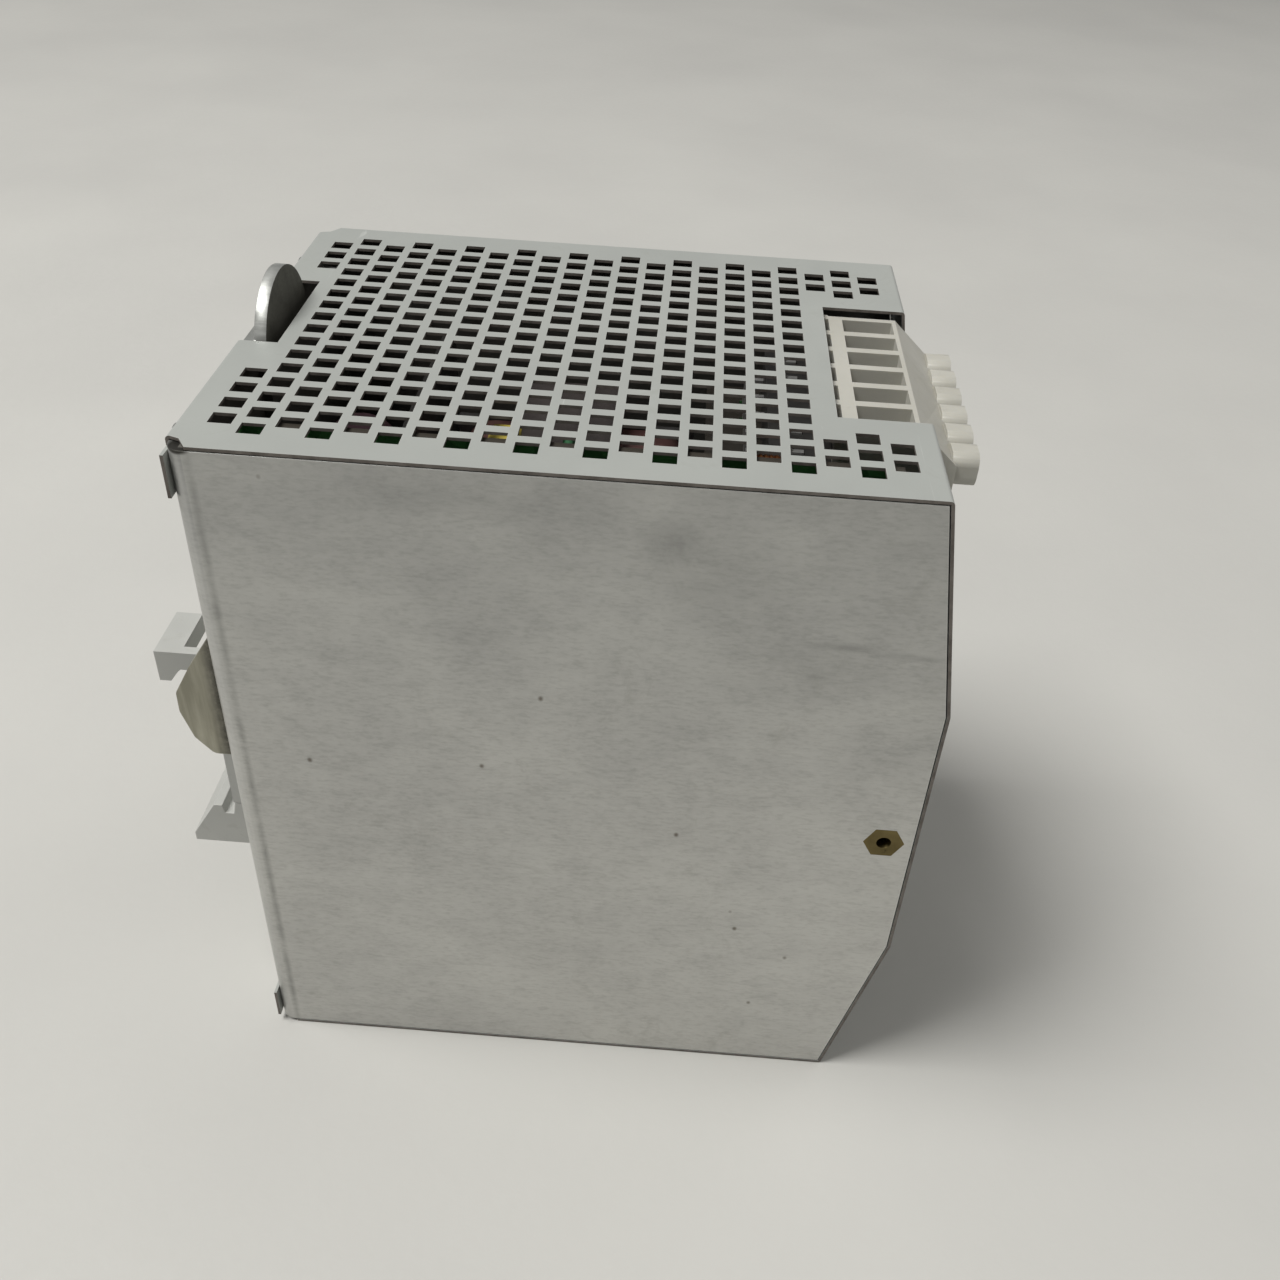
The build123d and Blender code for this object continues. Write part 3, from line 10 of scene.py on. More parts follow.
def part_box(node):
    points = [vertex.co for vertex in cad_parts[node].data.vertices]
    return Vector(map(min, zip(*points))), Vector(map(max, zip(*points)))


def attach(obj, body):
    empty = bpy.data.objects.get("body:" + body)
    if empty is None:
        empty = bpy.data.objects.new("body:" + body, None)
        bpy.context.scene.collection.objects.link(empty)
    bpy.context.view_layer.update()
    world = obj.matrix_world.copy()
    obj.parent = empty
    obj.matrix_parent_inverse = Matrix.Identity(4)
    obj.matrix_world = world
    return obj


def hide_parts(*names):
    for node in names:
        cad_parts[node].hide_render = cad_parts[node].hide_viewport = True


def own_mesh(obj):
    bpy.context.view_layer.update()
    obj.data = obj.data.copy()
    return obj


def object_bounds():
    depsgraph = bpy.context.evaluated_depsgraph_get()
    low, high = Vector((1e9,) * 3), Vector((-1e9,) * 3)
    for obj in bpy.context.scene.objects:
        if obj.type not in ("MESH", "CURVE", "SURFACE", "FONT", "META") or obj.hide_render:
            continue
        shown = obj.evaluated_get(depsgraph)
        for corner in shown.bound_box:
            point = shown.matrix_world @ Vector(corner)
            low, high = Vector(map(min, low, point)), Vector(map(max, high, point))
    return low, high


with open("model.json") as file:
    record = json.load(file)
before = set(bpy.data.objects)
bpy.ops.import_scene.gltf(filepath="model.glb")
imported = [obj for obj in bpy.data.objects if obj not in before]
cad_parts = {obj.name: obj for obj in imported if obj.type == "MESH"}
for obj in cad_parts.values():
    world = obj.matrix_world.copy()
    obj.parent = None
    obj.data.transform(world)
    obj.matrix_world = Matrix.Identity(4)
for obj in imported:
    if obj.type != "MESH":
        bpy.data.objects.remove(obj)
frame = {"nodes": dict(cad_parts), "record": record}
cad_low, cad_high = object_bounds()
nodes = frame["nodes"]

MM = 0.001
COVER_SHEET = 0.52 * MM
REAR_WALL_FRONT_Y = -10.7 * MM
REAR_BEND_Y = -10.0 * MM
REAR_BEND_SHADE_Y = -12.1 * MM
FUSE_GLASS_HALF = 5.0 * MM
# Marks on the left side: centre and half sizes in mm, and how dark.
HANDLING_MARKS = [
    ((-43, -106, 45.4), (6, 7.5, 1.1), 0.5),
    ((-43, -116, 44.4), (6, 7, 1.0), 0.45),
    ((-43, -100, 40), (6, 16, 7), 0.22),
    ((-43, -80, 62), (6, 7, 5.5), 0.35),
    ((-43, -86, 56), (6, 15, 11), 0.25),
    ((-43, -50, 66), (6, 30, 4), 0.25),
]
STAIN_SPOTS = [(-43, -22.7, 14), (-43, -96, -20), (-43, -61, 31), (-43, -84, 3)]
STAIN_SIZE = (2, 0.55, 0.7)
# Painted shade under the cover's corner relief: centre and half sizes in mm.
CORNER_SHADE = ((-42.0, -10.6, 70.9), (3.4, 2.2, 0.9))
rng = random.Random(7)


# ---- materials ----------------------------------------------------------------------------------


class Finish:
    """A node material while it is built. Its pattern coordinates are the part's own, in metres."""

    def __init__(self, name):
        self.material = bpy.data.materials.new(name)
        self.material.use_nodes = True
        self.tree = self.material.node_tree
        self.tree.nodes.clear()
        self.shader = self.add("ShaderNodeBsdfPrincipled")
        output = self.add("ShaderNodeOutputMaterial")
        self.tree.links.new(self.shader.outputs[0], output.inputs["Surface"])
        self.place = self.add("ShaderNodeTexCoord").outputs["Object"]

    def add(self, kind, **settings):
        node = self.tree.nodes.new(kind)
        for key, value in settings.items():
            setattr(node, key, value)
        return node

    def put(self, socket, value):
        if isinstance(value, bpy.types.NodeSocket):
            self.tree.links.new(value, socket)
        else:
            socket.default_value = value

    def stretched(self, stretch):
        node = self.add("ShaderNodeMapping")
        self.put(node.inputs["Vector"], self.place)
        node.inputs["Scale"].default_value = stretch
        return node.outputs["Vector"]

    def noise(self, size, stretch=(1, 1, 1), detail=4.0, roughness=0.55, distortion=0.0):
        """Cloudy pattern; size is the length of its largest features in mm."""
        node = self.add("ShaderNodeTexNoise")
        self.put(node.inputs["Vector"], self.stretched(stretch))
        self.put(node.inputs["Scale"], 1 / (size * MM))
        self.put(node.inputs["Detail"], detail)
        self.put(node.inputs["Roughness"], roughness)
        self.put(node.inputs["Distortion"], distortion)
        return node.outputs["Fac"]

    def cells(self, size, stretch=(1, 1, 1), feature="F1", output="Distance"):
        node = self.add("ShaderNodeTexVoronoi", feature=feature)
        self.put(node.inputs["Vector"], self.stretched(stretch))
        self.put(node.inputs["Scale"], 1 / (size * MM))
        return node.outputs[output]

    def ramp(self, value, low, high, start=0.0, end=1.0):
        node = self.add("ShaderNodeMapRange", clamp=True)
        for key, number in (("Value", value), ("From Min", low), ("From Max", high)):
            self.put(node.inputs[key], number)
        self.put(node.inputs["To Min"], start)
        self.put(node.inputs["To Max"], end)
        return node.outputs["Result"]

    def calc(self, operation, a, b=0.0):
        node = self.add("ShaderNodeMath", operation=operation)
        self.put(node.inputs[0], a)
        self.put(node.inputs[1], b)
        return node.outputs[0]

    def mix(self, factor, a, b):
        """Colour a where factor is 0, colour b where it is 1."""
        node = self.add("ShaderNodeMix", data_type="RGBA")
        self.put(node.inputs["Factor"], factor)
        for socket, colour in ((node.inputs[6], a), (node.inputs[7], b)):
            self.put(socket, (*colour, 1.0) if isinstance(colour, tuple) else colour)
        return node.outputs[2]

    def axis(self, index):
        node = self.add("ShaderNodeSeparateXYZ")
        self.put(node.inputs[0], self.place)
        return node.outputs[index]

    def away_from(self, index, place):
        """Distance of a coordinate from a place on its axis."""
        return self.calc("ABSOLUTE", self.calc("SUBTRACT", self.axis(index), place))

    def patch(self, centre, half, soft=1.0):
        """1 inside an ellipsoid around centre (mm), 0 outside, with a soft rim."""
        node = self.add("ShaderNodeMapping")
        self.put(node.inputs["Vector"], self.place)
        scale = [1 / (h * MM) for h in half]
        node.inputs["Scale"].default_value = scale
        node.inputs["Location"].default_value = [-c * MM * s for c, s in zip(centre, scale)]
        length = self.add("ShaderNodeVectorMath", operation="LENGTH")
        self.put(length.inputs[0], node.outputs["Vector"])
        return self.ramp(length.outputs["Value"], 1.0, 1.0 - soft)

    def edges(self, width):
        """1 along sharp edges, fading over width (mm)."""
        round_edge = self.add("ShaderNodeBevel", samples=4)
        self.put(round_edge.inputs["Radius"], width * MM)
        geometry = self.add("ShaderNodeNewGeometry")
        dot = self.add("ShaderNodeVectorMath", operation="DOT_PRODUCT")
        self.put(dot.inputs[0], round_edge.outputs[0])
        self.put(dot.inputs[1], geometry.outputs["Normal"])
        return self.ramp(dot.outputs["Value"], 0.995, 0.85)

    def facing(self, index):
        """Absolute size of one component of the flat surface normal."""
        node = self.add("ShaderNodeSeparateXYZ")
        self.put(node.inputs[0], self.add("ShaderNodeNewGeometry").outputs["True Normal"])
        return self.calc("ABSOLUTE", node.outputs[index])

    def between(self, value, low, high):
        """1 where value lies between low and high, else 0."""
        above = self.calc("GREATER_THAN", value, low)
        return self.calc("MULTIPLY", above, self.calc("LESS_THAN", value, high))

    def bump(self, height, depth, below=None):
        """Relief; depth is its full height in mm."""
        node = self.add("ShaderNodeBump")
        self.put(node.inputs["Height"], height)
        self.put(node.inputs["Distance"], depth * MM)
        self.put(node.inputs["Strength"], 1.0)
        if below is not None:
            self.put(node.inputs["Normal"], below)
        return node.outputs["Normal"]

    def done(self, colour, roughness, normal=None, metallic=0.0, **others):
        """Connect everything to the shader. Other inputs are named with _ for each space."""
        self.put(self.shader.inputs["Base Color"], colour)
        self.put(self.shader.inputs["Roughness"], roughness)
        self.put(self.shader.inputs["Metallic"], metallic)
        if normal is not None:
            self.put(self.shader.inputs["Normal"], normal)
        for key, value in others.items():
            self.put(self.shader.inputs[key.replace("_", " ")], value)
        return self.material


def raw_aluminium():
    f = Finish("raw_aluminium")
    grain = f.noise(0.45, stretch=(0.4, 0.3, 1.0), detail=3)
    long_grain = f.noise(1.2, stretch=(0.16, 0.11, 1.0), detail=4, roughness=0.65)
    mottle = f.noise(5.5, stretch=(1, 0.6, 1), detail=6, roughness=0.7, distortion=0.4)
    cloud = f.noise(38, stretch=(1, 0.8, 1.2), detail=5, roughness=0.6, distortion=0.6)
    haze = f.noise(90, detail=2)
    stains = f.noise(14, detail=6, roughness=0.7, distortion=1.2)
    colour = f.mix(f.ramp(cloud, 0.32, 0.7), (0.41, 0.41, 0.40), (0.545, 0.545, 0.52))
    # Painted light: the side is lighter towards the bottom.
    colour = f.mix(f.ramp(f.axis(2), 75 * MM, -35 * MM, 0.0, 0.55), colour, (0.60, 0.59, 0.555))
    colour = f.mix(f.ramp(haze, 0.4, 0.65, 0.0, 0.3), colour, (0.40, 0.40, 0.39))
    colour = f.mix(f.ramp(mottle, 0.5, 0.7, 0.0, 0.4), colour, (0.60, 0.60, 0.57))
    colour = f.mix(f.ramp(mottle, 0.5, 0.3, 0.0, 0.3), colour, (0.30, 0.30, 0.29))
    colour = f.mix(f.ramp(grain, 0.35, 0.75, 0.0, 0.42), colour, (0.66, 0.66, 0.64))
    colour = f.mix(f.ramp(grain, 0.5, 0.2, 0.0, 0.3), colour, (0.30, 0.30, 0.29))
    colour = f.mix(f.ramp(long_grain, 0.55, 0.75, 0.0, 0.16), colour, (0.30, 0.30, 0.29))
    colour = f.mix(f.ramp(stains, 0.6, 0.74, 0.0, 0.35), colour, (0.30, 0.295, 0.27))
    # Handling marks: a smear below the front's upper bend, and dull clouds under the top.
    for place, size, depth in HANDLING_MARKS:
        mark = f.calc("MULTIPLY", f.patch(place, size), f.ramp(stains, 0.25, 0.6))
        colour = f.mix(f.calc("MULTIPLY", mark, depth), colour, (0.17, 0.17, 0.165))
    speck_cells = f.ramp(f.cells(11, stretch=(1, 1, 0.8)), 0.05, 0.02)
    specks = f.calc("MULTIPLY", speck_cells, f.ramp(f.noise(30, detail=2), 0.52, 0.56))
    for place in STAIN_SPOTS:
        specks = f.calc("MAXIMUM", specks, f.patch(place, STAIN_SIZE, 0.7))
    colour = f.mix(f.calc("MULTIPLY", specks, 0.75), colour, (0.10, 0.075, 0.05))
    # Painted highlight along the bend at the rear, with a darker line beside it.
    bend = f.ramp(f.away_from(1, REAR_BEND_Y), 1.6 * MM, 0.6 * MM, 0.0, 0.25)
    colour = f.mix(bend, colour, (0.68, 0.68, 0.66))
    line = f.ramp(f.away_from(1, REAR_BEND_SHADE_Y), 0.8 * MM, 0.1 * MM)
    line = f.calc("MULTIPLY", line, f.ramp(stains, 0.35, 0.6, 0.1, 0.55))
    colour = f.mix(line, colour, (0.20, 0.20, 0.19))
    top_shade = f.ramp(f.axis(2), 15 * MM, 72 * MM, 0.0, 0.22)
    colour = f.mix(top_shade, colour, (0.27, 0.275, 0.27))
    # Painted highlight along the sharp edges.
    colour = f.mix(f.calc("MULTIPLY", f.edges(0.35), 0.5), colour, (0.72, 0.72, 0.70))
    # Painted shade under the cover's corner relief.
    grime_and_shade = f.calc("MULTIPLY", f.patch(*CORNER_SHADE, soft=0.35), 0.92)
    colour = f.mix(grime_and_shade, colour, (0.03, 0.028, 0.022))
    # Painted shade: the inner faces and the front of the tongue are dark, and also dull.
    off_centre = f.away_from(0, 0.0)
    between_sides = f.calc("LESS_THAN", off_centre, cad_high.x - 1.0 * MM)
    before_rear = f.calc("LESS_THAN", f.axis(1), REAR_WALL_FRONT_Y + 0.1 * MM)
    inside = f.calc("MULTIPLY", between_sides, before_rear)
    above = f.calc("GREATER_THAN", f.axis(2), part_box("wrap_cover")[1].z - 3 * MM)
    above = f.calc("MULTIPLY", above, f.calc("LESS_THAN", off_centre, 0.5 * cad_high.x))
    sheared = f.calc("MULTIPLY", above, f.calc("LESS_THAN", f.facing(1), 0.5))
    inside = f.calc("MULTIPLY", inside, f.calc("SUBTRACT", 1.0, sheared))
    tongue = f.mix(f.ramp(mottle, 0.35, 0.65), (0.095, 0.094, 0.078), (0.15, 0.148, 0.125))
    colour = f.mix(inside, colour, f.mix(above, (0.13, 0.125, 0.11), tongue))
    roughness = f.calc("ADD", f.ramp(cloud, 0.3, 0.7, 0.5, 0.38), f.ramp(grain, 0.3, 0.7, -0.05, 0.07))
    roughness = f.calc("ADD", roughness, f.calc("MULTIPLY", inside, 0.25))
    # Painted highlight on the sheared edge of the tongue.
    rim_highlight = f.mix(f.ramp(long_grain, 0.35, 0.7), (0.42, 0.43, 0.41), (0.62, 0.63, 0.61))
    colour = f.mix(sheared, colour, rim_highlight)
    normal = f.bump(f.noise(26, detail=1), 0.12, f.bump(grain, 0.012))
    metallic = f.calc("SUBTRACT", 0.82, f.calc("MULTIPLY", inside, 0.5))
    return f.done(colour, roughness, normal, metallic=metallic)


def painted_sheet():
    f = Finish("painted_sheet")
    tone = f.noise(45, detail=4, roughness=0.6)
    dirt_and_shade = f.noise(9, detail=6, roughness=0.7, distortion=1.0)
    peel = f.noise(0.9, detail=2)
    colour = f.mix(f.ramp(tone, 0.3, 0.7), (0.355, 0.37, 0.352), (0.40, 0.415, 0.393))
    colour = f.mix(f.ramp(dirt_and_shade, 0.58, 0.75, 0.0, 0.4), colour, (0.30, 0.31, 0.28))
    scratch = f.ramp(f.noise(5, stretch=(0.1, 1, 1), detail=5, distortion=2.0), 0.71, 0.76)
    colour = f.mix(f.calc("MULTIPLY", scratch, 0.4), colour, (0.62, 0.63, 0.61))
    # Lighter edges: wear to bare metal, and painted highlight.
    wear_and_highlight = f.calc("MULTIPLY", f.edges(0.3), f.ramp(f.noise(3, detail=4), 0.42, 0.62))
    colour = f.mix(f.calc("MULTIPLY", wear_and_highlight, 0.6), colour, (0.62, 0.62, 0.59))
    # Cut edges, in the holes and along the sides: bare steel, painted darker as painted shade.
    low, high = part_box("wrap_cover")
    in_sheet = f.calc(
        "MAXIMUM",
        f.calc("GREATER_THAN", f.axis(2), high.z - COVER_SHEET),
        f.calc("LESS_THAN", f.axis(2), low.z + COVER_SHEET),
    )
    behind_front = f.between(f.axis(1), low.y + 9 * MM, high.y - 1.5 * MM)
    faces_y = f.calc("GREATER_THAN", f.facing(1), 0.7)
    across = f.calc("MULTIPLY", faces_y, f.calc("MULTIPLY", in_sheet, behind_front))
    cut = f.calc("MAXIMUM", f.calc("GREATER_THAN", f.facing(0), 0.7), across)
    bare_edge_and_shade = f.mix(f.ramp(f.noise(2.5, detail=5), 0.4, 0.65), (0.17, 0.152, 0.136), (0.10, 0.086, 0.074))
    colour = f.mix(cut, colour, bare_edge_and_shade)
    roughness = f.calc("ADD", f.ramp(dirt_and_shade, 0.3, 0.75, 0.36, 0.6), f.calc("MULTIPLY", cut, 0.2))
    normal = f.bump(peel, 0.012)
    coat = f.calc("SUBTRACT", 0.08, f.calc("MULTIPLY", cut, 0.08))
    return f.done(colour, roughness, normal, Coat_Weight=coat, Coat_Roughness=0.3)


def metal(name, dark, light, roughness, spot=(0.2, 0.17, 0.12), spots=0.4, metallic=1.0):
    """Bare or plated metal with cloudy tone, fine grain, tarnish spots and a painted highlight along the edges."""
    f = Finish(name)
    cloud = f.noise(6, detail=5, roughness=0.6)
    grain = f.noise(0.25, stretch=(1, 1, 0.15), detail=2)
    spot_mask = f.ramp(f.noise(1.8, detail=5, roughness=0.7), 0.6, 0.72, 0.0, spots)
    colour = f.mix(f.ramp(cloud, 0.3, 0.7), dark, light)
    colour = f.mix(spot_mask, colour, spot)
    # Painted highlight along the edges.
    bright = tuple(min(1.0, 1.25 * c) for c in light)
    colour = f.mix(f.calc("MULTIPLY", f.edges(0.2), 0.5), colour, bright)
    rough = f.ramp(cloud, 0.3, 0.7, roughness + 0.08, roughness - 0.06)
    rough = f.calc("ADD", rough, f.ramp(spot_mask, 0.0, 0.4, 0.0, 0.15))
    return f.done(colour, rough, f.bump(grain, 0.006), metallic=metallic)


def chromated_ear():
    """Dull plated steel, with painted shade where the ear meets the wall and painted shading bands along its height.
    """
    f = Finish("chromated_steel")
    shading_bands = f.noise(2.2, stretch=(1, 1.3, 0.12), detail=4)
    cloud = f.noise(7, detail=5, roughness=0.65)
    grime_and_shade = f.noise(1.6, detail=5, roughness=0.7)
    # Painted shading bands along the ear's height.
    colour = f.mix(f.ramp(shading_bands, 0.35, 0.65), (0.28, 0.27, 0.215), (0.44, 0.425, 0.35))
    colour = f.mix(f.ramp(cloud, 0.4, 0.7, 0.0, 0.45), colour, (0.25, 0.24, 0.20))
    # Painted shade where the ear meets the wall.
    near_wall = f.ramp(f.axis(1), -6.0 * MM, -8.2 * MM)
    dirt_and_shade = f.calc("MULTIPLY", near_wall, f.ramp(grime_and_shade, 0.25, 0.6, 0.45, 1.0))
    colour = f.mix(f.calc("MULTIPLY", dirt_and_shade, 0.9), colour, (0.035, 0.033, 0.026))
    # Painted highlight along the edges.
    colour = f.mix(f.calc("MULTIPLY", f.edges(0.25), 0.5), colour, (0.52, 0.51, 0.45))
    rough = f.calc("ADD", f.ramp(cloud, 0.3, 0.7, 0.5, 0.38), f.calc("MULTIPLY", dirt_and_shade, 0.3))
    metallic = f.calc("SUBTRACT", 0.9, f.calc("MULTIPLY", dirt_and_shade, 0.6))
    return f.done(colour, rough, f.bump(shading_bands, 0.02), metallic=metallic)


def plastic(name, colour_a, colour_b, roughness, dirt_and_shade=(0.25, 0.23, 0.19), dirt_amount=0.25, glow=0.0):
    """Moulded plastic with a fine texture, slight tone variation, dirt in patches and a painted highlight along its
    edges.
    """
    f = Finish(name)
    tone = f.noise(16, detail=3)
    grime_and_shade = f.noise(4, detail=6, roughness=0.7, distortion=0.8)
    texture = f.noise(0.35, detail=2)
    colour = f.mix(f.ramp(tone, 0.3, 0.7), colour_a, colour_b)
    colour = f.mix(f.ramp(grime_and_shade, 0.56, 0.78, 0.0, dirt_amount), colour, dirt_and_shade)
    lighter = tuple(min(1.0, 0.85 * c + 0.12) for c in colour_b)
    # Painted highlight along the sharp edges.
    colour = f.mix(f.calc("MULTIPLY", f.edges(0.25), 0.35), colour, lighter)
    rough = f.ramp(grime_and_shade, 0.3, 0.75, roughness - 0.06, roughness + 0.12)
    extra = {}
    if glow:
        extra["Subsurface_Weight"] = glow
        extra["Subsurface_Radius"] = (0.9, 0.8, 0.6)
        extra["Subsurface_Scale"] = 1.2 * MM
    return f.done(colour, rough, f.bump(texture, 0.012), **extra)


def board_green():
    f = Finish("board_green")
    tracks = f.cells(5.5, feature="DISTANCE_TO_EDGE")
    copper = f.ramp(tracks, 0.10, 0.13)
    colour = f.mix(copper, (0.04, 0.16, 0.045), (0.07, 0.27, 0.075))
    colour = f.mix(f.ramp(f.noise(20), 0.4, 0.7, 0.0, 0.5), colour, (0.09, 0.31, 0.10))
    # The sawn edges show the dull core of the laminate.
    sawn = f.calc("LESS_THAN", f.facing(0), 0.5)
    colour = f.mix(sawn, colour, (0.05, 0.044, 0.036))
    rough = f.ramp(f.noise(5, detail=3), 0.3, 0.7, 0.28, 0.42)
    return f.done(colour, rough, f.bump(copper, 0.05), Coat_Weight=0.3, Coat_Roughness=0.15)


def winding_tape():
    f = Finish("winding_tape")
    wraps = f.noise(2.0, stretch=(1.0, 0.02, 0.02), detail=1)
    colour = f.mix(f.ramp(wraps, 0.4, 0.6), (0.13, 0.062, 0.058), (0.19, 0.095, 0.085))
    colour = f.mix(f.ramp(f.noise(6, detail=5), 0.55, 0.75, 0.0, 0.4), colour, (0.08, 0.045, 0.03))
    return f.done(colour, f.ramp(wraps, 0.3, 0.7, 0.3, 0.45), f.bump(wraps, 0.12), Coat_Weight=0.4)


def ferrite():
    f = Finish("ferrite")
    pores = f.noise(0.6, detail=5, roughness=0.7)
    tone = f.noise(9, detail=3)
    colour = f.mix(f.ramp(tone, 0.3, 0.7), (0.055, 0.046, 0.044), (0.09, 0.076, 0.072))
    # Painted highlight along the edges.
    colour = f.mix(f.calc("MULTIPLY", f.edges(0.4), 0.5), colour, (0.16, 0.15, 0.15))
    return f.done(colour, f.ramp(pores, 0.3, 0.7, 0.5, 0.8), f.bump(pores, 0.05))


def lamp_green():
    f = Finish("lamp_green")
    tone = f.noise(1.5, detail=3)
    colour = f.mix(f.ramp(tone, 0.3, 0.7), (0.10, 0.42, 0.10), (0.16, 0.55, 0.14))
    rough = f.ramp(tone, 0.3, 0.7, 0.12, 0.22)
    return f.done(colour, rough, f.bump(tone, 0.01), Transmission_Weight=0.45, IOR=1.5)


def fuse_glass():
    """Glass tube between two plated caps."""
    f = Finish("fuse_glass")
    low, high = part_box("line_fuse")
    off_middle = f.away_from(1, (low.y + high.y) / 2)
    cap = f.ramp(off_middle, FUSE_GLASS_HALF - 0.05 * MM, FUSE_GLASS_HALF + 0.05 * MM)
    tone = f.noise(2.0, detail=3)
    glass = f.mix(f.ramp(tone, 0.3, 0.7), (0.55, 0.60, 0.58), (0.72, 0.76, 0.74))
    colour = f.mix(cap, glass, (0.62, 0.61, 0.58))
    rough = f.calc("ADD", f.ramp(tone, 0.3, 0.7, 0.06, 0.12), f.calc("MULTIPLY", cap, 0.22))
    see_through = f.calc("SUBTRACT", 0.75, f.calc("MULTIPLY", cap, 0.75))
    normal = f.bump(tone, 0.005)
    return f.done(colour, rough, normal, metallic=cap, Transmission_Weight=see_through, IOR=1.45)


def insulator_film():
    f = Finish("insulator_film")
    crease = f.noise(18, detail=3)
    colour = f.mix(f.ramp(crease, 0.3, 0.7), (0.58, 0.57, 0.50), (0.70, 0.69, 0.62))
    return f.done(colour, f.ramp(crease, 0.3, 0.7, 0.25, 0.4), f.bump(crease, 0.1), Transmission_Weight=0.15)


# Metals: dark and light tone, roughness, and what differs from the usual.
METALS = {
    "black_anodised": (
        (0.05, 0.048, 0.045),
        (0.08, 0.077, 0.072),
        0.5,
        {"spot": (0.09, 0.085, 0.08), "metallic": 0.4},
    ),
    "brass": ((0.115, 0.09, 0.038), (0.19, 0.15, 0.066), 0.42, {"spot": (0.05, 0.045, 0.02), "spots": 0.7}),
    "zinc_steel": ((0.50, 0.50, 0.50), (0.68, 0.68, 0.67), 0.32, {"spots": 0.3}),
    "spring_steel": ((0.30, 0.30, 0.31), (0.42, 0.42, 0.42), 0.3, {"spots": 0.5}),
    "tinned_metal": ((0.58, 0.58, 0.57), (0.74, 0.74, 0.72), 0.36, {"spots": 0.2, "metallic": 0.55}),
    "copper_wire": ((0.46, 0.17, 0.055), (0.62, 0.27, 0.10), 0.28, {"spot": (0.2, 0.06, 0.02), "spots": 0.5}),
}
# Plastics, coatings and moulded cases, in the same order.
PLASTICS = {
    "adapter_plastic": ((0.43, 0.435, 0.415), (0.49, 0.495, 0.47), 0.46, {"dirt_amount": 0.3}),
    "terminal_plastic": ((0.46, 0.45, 0.40), (0.52, 0.51, 0.46), 0.42, {"dirt_amount": 0.22, "glow": 0.12}),
    "dark_plastic": ((0.035, 0.034, 0.033), (0.055, 0.053, 0.05), 0.48, {"dirt_and_shade": (0.12, 0.11, 0.10)}),
    "can_sleeve": ((0.075, 0.040, 0.050), (0.115, 0.062, 0.075), 0.34, {"dirt_amount": 0.15}),
    "film_case": ((0.42, 0.33, 0.05), (0.52, 0.42, 0.08), 0.4, {"dirt_amount": 0.2}),
    "epoxy_black": ((0.03, 0.03, 0.03), (0.05, 0.049, 0.047), 0.5, {"dirt_and_shade": (0.09, 0.09, 0.08)}),
    "disc_blue": ((0.03, 0.09, 0.26), (0.05, 0.13, 0.34), 0.35, {}),
    "disc_green": ((0.025, 0.09, 0.04), (0.04, 0.13, 0.06), 0.35, {}),
    "relay_case": ((0.30, 0.045, 0.03), (0.38, 0.065, 0.04), 0.38, {}),
}
FINISHES = {
    "raw_aluminium": raw_aluminium(),
    "painted_sheet": painted_sheet(),
    "chromated_steel": chromated_ear(),
    "insulator_film": insulator_film(),
    "board_green": board_green(),
    "ferrite": ferrite(),
    "winding_tape": winding_tape(),
    "fuse_glass": fuse_glass(),
    "lamp_green": lamp_green(),
}
for slot, (dark, light, roughness, extra) in METALS.items():
    FINISHES[slot] = metal(slot, dark, light, roughness, **extra)
for slot, (first, second, roughness, extra) in PLASTICS.items():
    FINISHES[slot] = plastic(slot, first, second, roughness, **extra)

# The edge radius of each node in mm, where it isn't the default.
EDGE_RADIUS = 0.12
EDGE_RADII = {
    "wrap_cover": 0.0,
    "chassis": 0.15,
    "rail_adapter": 0.3,
    "rail_latch": 0.35,
    "output_plug": 0.2,
    "input_plug": 0.2,
    "output_header": 0.2,
    "input_header": 0.2,
    "bulk_capacitors": 0.6,
    "output_capacitors": 0.4,
    "rear_screws": 0.35,
    "board_screws": 0.35,
    "heat_sinks": 0.2,
    "transformer_core": 0.4,
    "line_choke_core": 0.5,
    "output_choke_core": 0.5,
    "latch_spring": 0.0,
    "inrush_limiter": 0.0,
    "varistor": 0.0,
    "board_insulator": 0.0,
}
SHARP_ANGLE = math.radians(32)
WELD_DISTANCE = 0.001 * MM


def finish_node(node, slot):
    """Material and softened edges for a CAD node."""
    piece = nodes[node]
    piece.data.materials.clear()
    piece.data.materials.append(FINISHES[slot])
    width = EDGE_RADII.get(node, EDGE_RADIUS)
    weld = piece.modifiers.new("weld", "WELD")
    weld.merge_threshold = WELD_DISTANCE
    if width:
        bevel = piece.modifiers.new("edges", "BEVEL")
        bevel.width = width * MM
        bevel.segments = 2
        bevel.limit_method = "ANGLE"
        bevel.angle_limit = SHARP_ANGLE
        bevel.use_clamp_overlap = True
        bevel.harden_normals = True


for row in frame["record"]["subparts"]:
    finish_node(row["node"], row["material_slot"])


# ---- new pieces ---------------------------------------------------------------------------------


